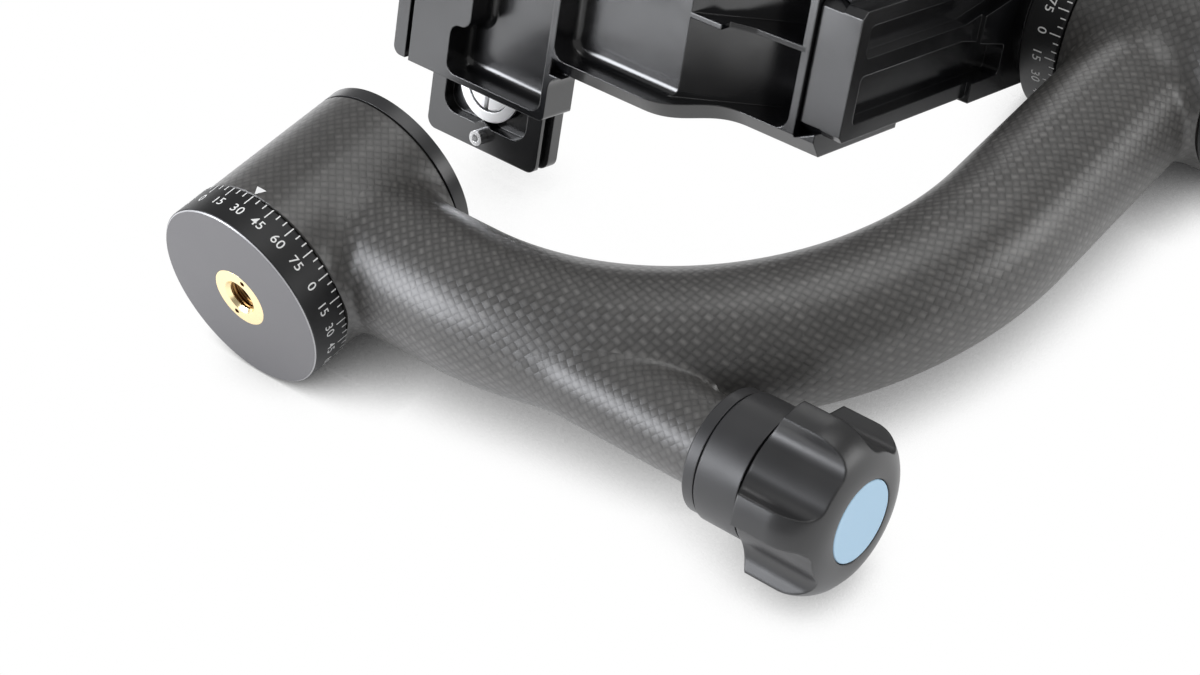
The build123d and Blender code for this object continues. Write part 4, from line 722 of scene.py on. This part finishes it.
def floor_finish():
    """Matt white for the light, with its glow in reflections painted darker near the object. For the camera
    it is the white backdrop seen through a painted contact shadow made from ambient occlusion, not cast by
    the lamps.

    So a body that a joint swings past the table stays in view.
    """
    g = Graph("floor_white")
    rays = g.node("ShaderNodeLightPath")
    camera_ray = rays.outputs["Is Camera Ray"]
    seen = g.math("ADD", g.math("ADD", camera_ray, rays.outputs["Is Glossy Ray"]),
                  rays.outputs["Is Transmission Ray"])
    # Painted shade: the glow seen in reflections is dimmed by ambient occlusion near the object.
    near_sky = g.node("ShaderNodeAmbientOcclusion", {"Distance": CONTACT_REACH}, samples=8).outputs["AO"]
    glow_painted_shade = g.math("MULTIPLY", g.math("POWER", near_sky, GLOW_POWER), GLOW_LEVEL)
    glow = g.node("ShaderNodeEmission", {"Color": (1.0, 1.0, 1.0, 1.0),
                                         "Strength": g.math("MULTIPLY", g.math("MINIMUM", seen, 1.0), glow_painted_shade)})
    matt = g.node("ShaderNodeBsdfDiffuse", {"Color": FLOOR_GREY})
    both = g.node("ShaderNodeAddShader", {0: matt.outputs[0], 1: glow.outputs[0]})
    # Painted contact shadow for the camera: the backdrop is tinted darker by ambient occlusion, not by the
    # lamps' shadows.
    far_sky = g.node("ShaderNodeAmbientOcclusion", {"Distance": SHADOW_REACH}, samples=12).outputs["AO"]
    painted_shadow_level = g.math("MULTIPLY", near_sky, g.math("POWER", far_sky, SHADOW_POWER))
    painted_shadow_level = g.math("MINIMUM", g.math("MULTIPLY", painted_shadow_level, SHADOW_GAIN), 1.0)
    painted_shadow_level = g.math("SUBTRACT", 1.0, g.math("POWER", g.math("SUBTRACT", 1.0, painted_shadow_level), SHADOW_SOFTNESS))
    shadow = g.node("ShaderNodeBsdfTransparent", {"Color": g.tint(painted_shadow_level, (0.0, 0.0, 0.0), (1.0, 1.0, 1.0))})
    front = g.node("ShaderNodeMixShader", {0: camera_ray, 1: both.outputs[0], 2: shadow.outputs[0]})
    clear = g.node("ShaderNodeBsdfTransparent")
    underside = g.node("ShaderNodeNewGeometry").outputs["Backfacing"]
    return g.surface(g.node("ShaderNodeMixShader", {0: underside, 1: front.outputs[0], 2: clear.outputs[0]}))


FLOOR_Y = max(cad_box[1].y, RING_R * MM) + FLOOR_GAP
floor_corners = [(x * FLOOR_HALF, FLOOR_Y, z * FLOOR_HALF) for x, z in ((-1, -1), (1, -1), (1, 1), (-1, 1))]
floor_mesh = bpy.data.meshes.new("floor")
floor_mesh.from_pydata(floor_corners, [], [(0, 1, 2, 3)])
floor = bpy.data.objects.new("floor", floor_mesh)
bpy.context.scene.collection.objects.link(floor)
floor_mesh.materials.append(floor_finish())

world = bpy.data.worlds.new("studio")
bpy.context.scene.world = world
world.use_nodes = True
tree = world.node_tree
tree.nodes.clear()
back = tree.nodes.new("ShaderNodeBackground")
back.inputs["Color"].default_value = (1.0, 1.0, 1.0, 1.0)
path = tree.nodes.new("ShaderNodeLightPath")
level = tree.nodes.new("ShaderNodeMapRange")
level.inputs["To Min"].default_value = ROOM_LIGHT
level.inputs["To Max"].default_value = 1.0
out = tree.nodes.new("ShaderNodeOutputWorld")
tree.links.new(path.outputs["Is Camera Ray"], level.inputs["Value"])
tree.links.new(level.outputs["Result"], back.inputs["Strength"])
tree.links.new(back.outputs[0], out.inputs["Surface"])

CENTRE = Vector((0.07, 0.0, 0.09))


def lamp(name, direction, distance, width, height, power, colour=(1.0, 1.0, 1.0)):
    """A softbox that faces the object from the given direction, in metres and watts."""
    data = bpy.data.lights.new(name, "AREA")
    data.shape = "RECTANGLE"
    data.size, data.size_y = width, height
    data.energy = power
    data.color = colour
    thing = bpy.data.objects.new(name, data)
    bpy.context.scene.collection.objects.link(thing)
    away = Vector(direction).normalized()
    thing.location = CENTRE + away * distance
    thing.rotation_mode = "QUATERNION"
    thing.rotation_quaternion = away.to_track_quat("Z", "Y")


lamp("softbox_left", (-0.58, -0.37, -0.73), 1.0, 0.45, 0.55, 9.0, (0.93, 0.95, 1.0))
lamp("softbox_right", (0.84, -0.25, 0.48), 1.0, 0.35, 0.45, 2.5)
lamp("softbox_top", (0.1, -0.95, 0.3), 1.2, 0.8, 0.7, 3.8)
lamp("softbox_back", (-0.52, -0.26, 0.81), 1.1, 0.7, 0.25, 1.6)

# The photo's camera, solved from the base's ellipse, the barrel and the tube.
CAMERA_PLACE, LENS = (0.3892, -0.4133, -0.2592), 75.07
RIGHT, UP, BACKWARD = (0.7622, 0.1015, 0.6393), (-0.3934, -0.7117, 0.5820), (0.5141, -0.6951, -0.5025)
camera_data = bpy.data.cameras.new("camera")
camera_data.sensor_fit = "HORIZONTAL"
camera_data.sensor_width = 36.0
camera_data.lens = LENS
camera_data.clip_start, camera_data.clip_end = 0.01, 20.0
camera = bpy.data.objects.new("camera", camera_data)
camera.matrix_world = Matrix.Translation(CAMERA_PLACE) @ Matrix((RIGHT, UP, BACKWARD)).transposed().to_4x4()
bpy.context.scene.collection.objects.link(camera)
bpy.context.scene.camera = camera

bpy.context.scene.view_settings.view_transform = "Standard"
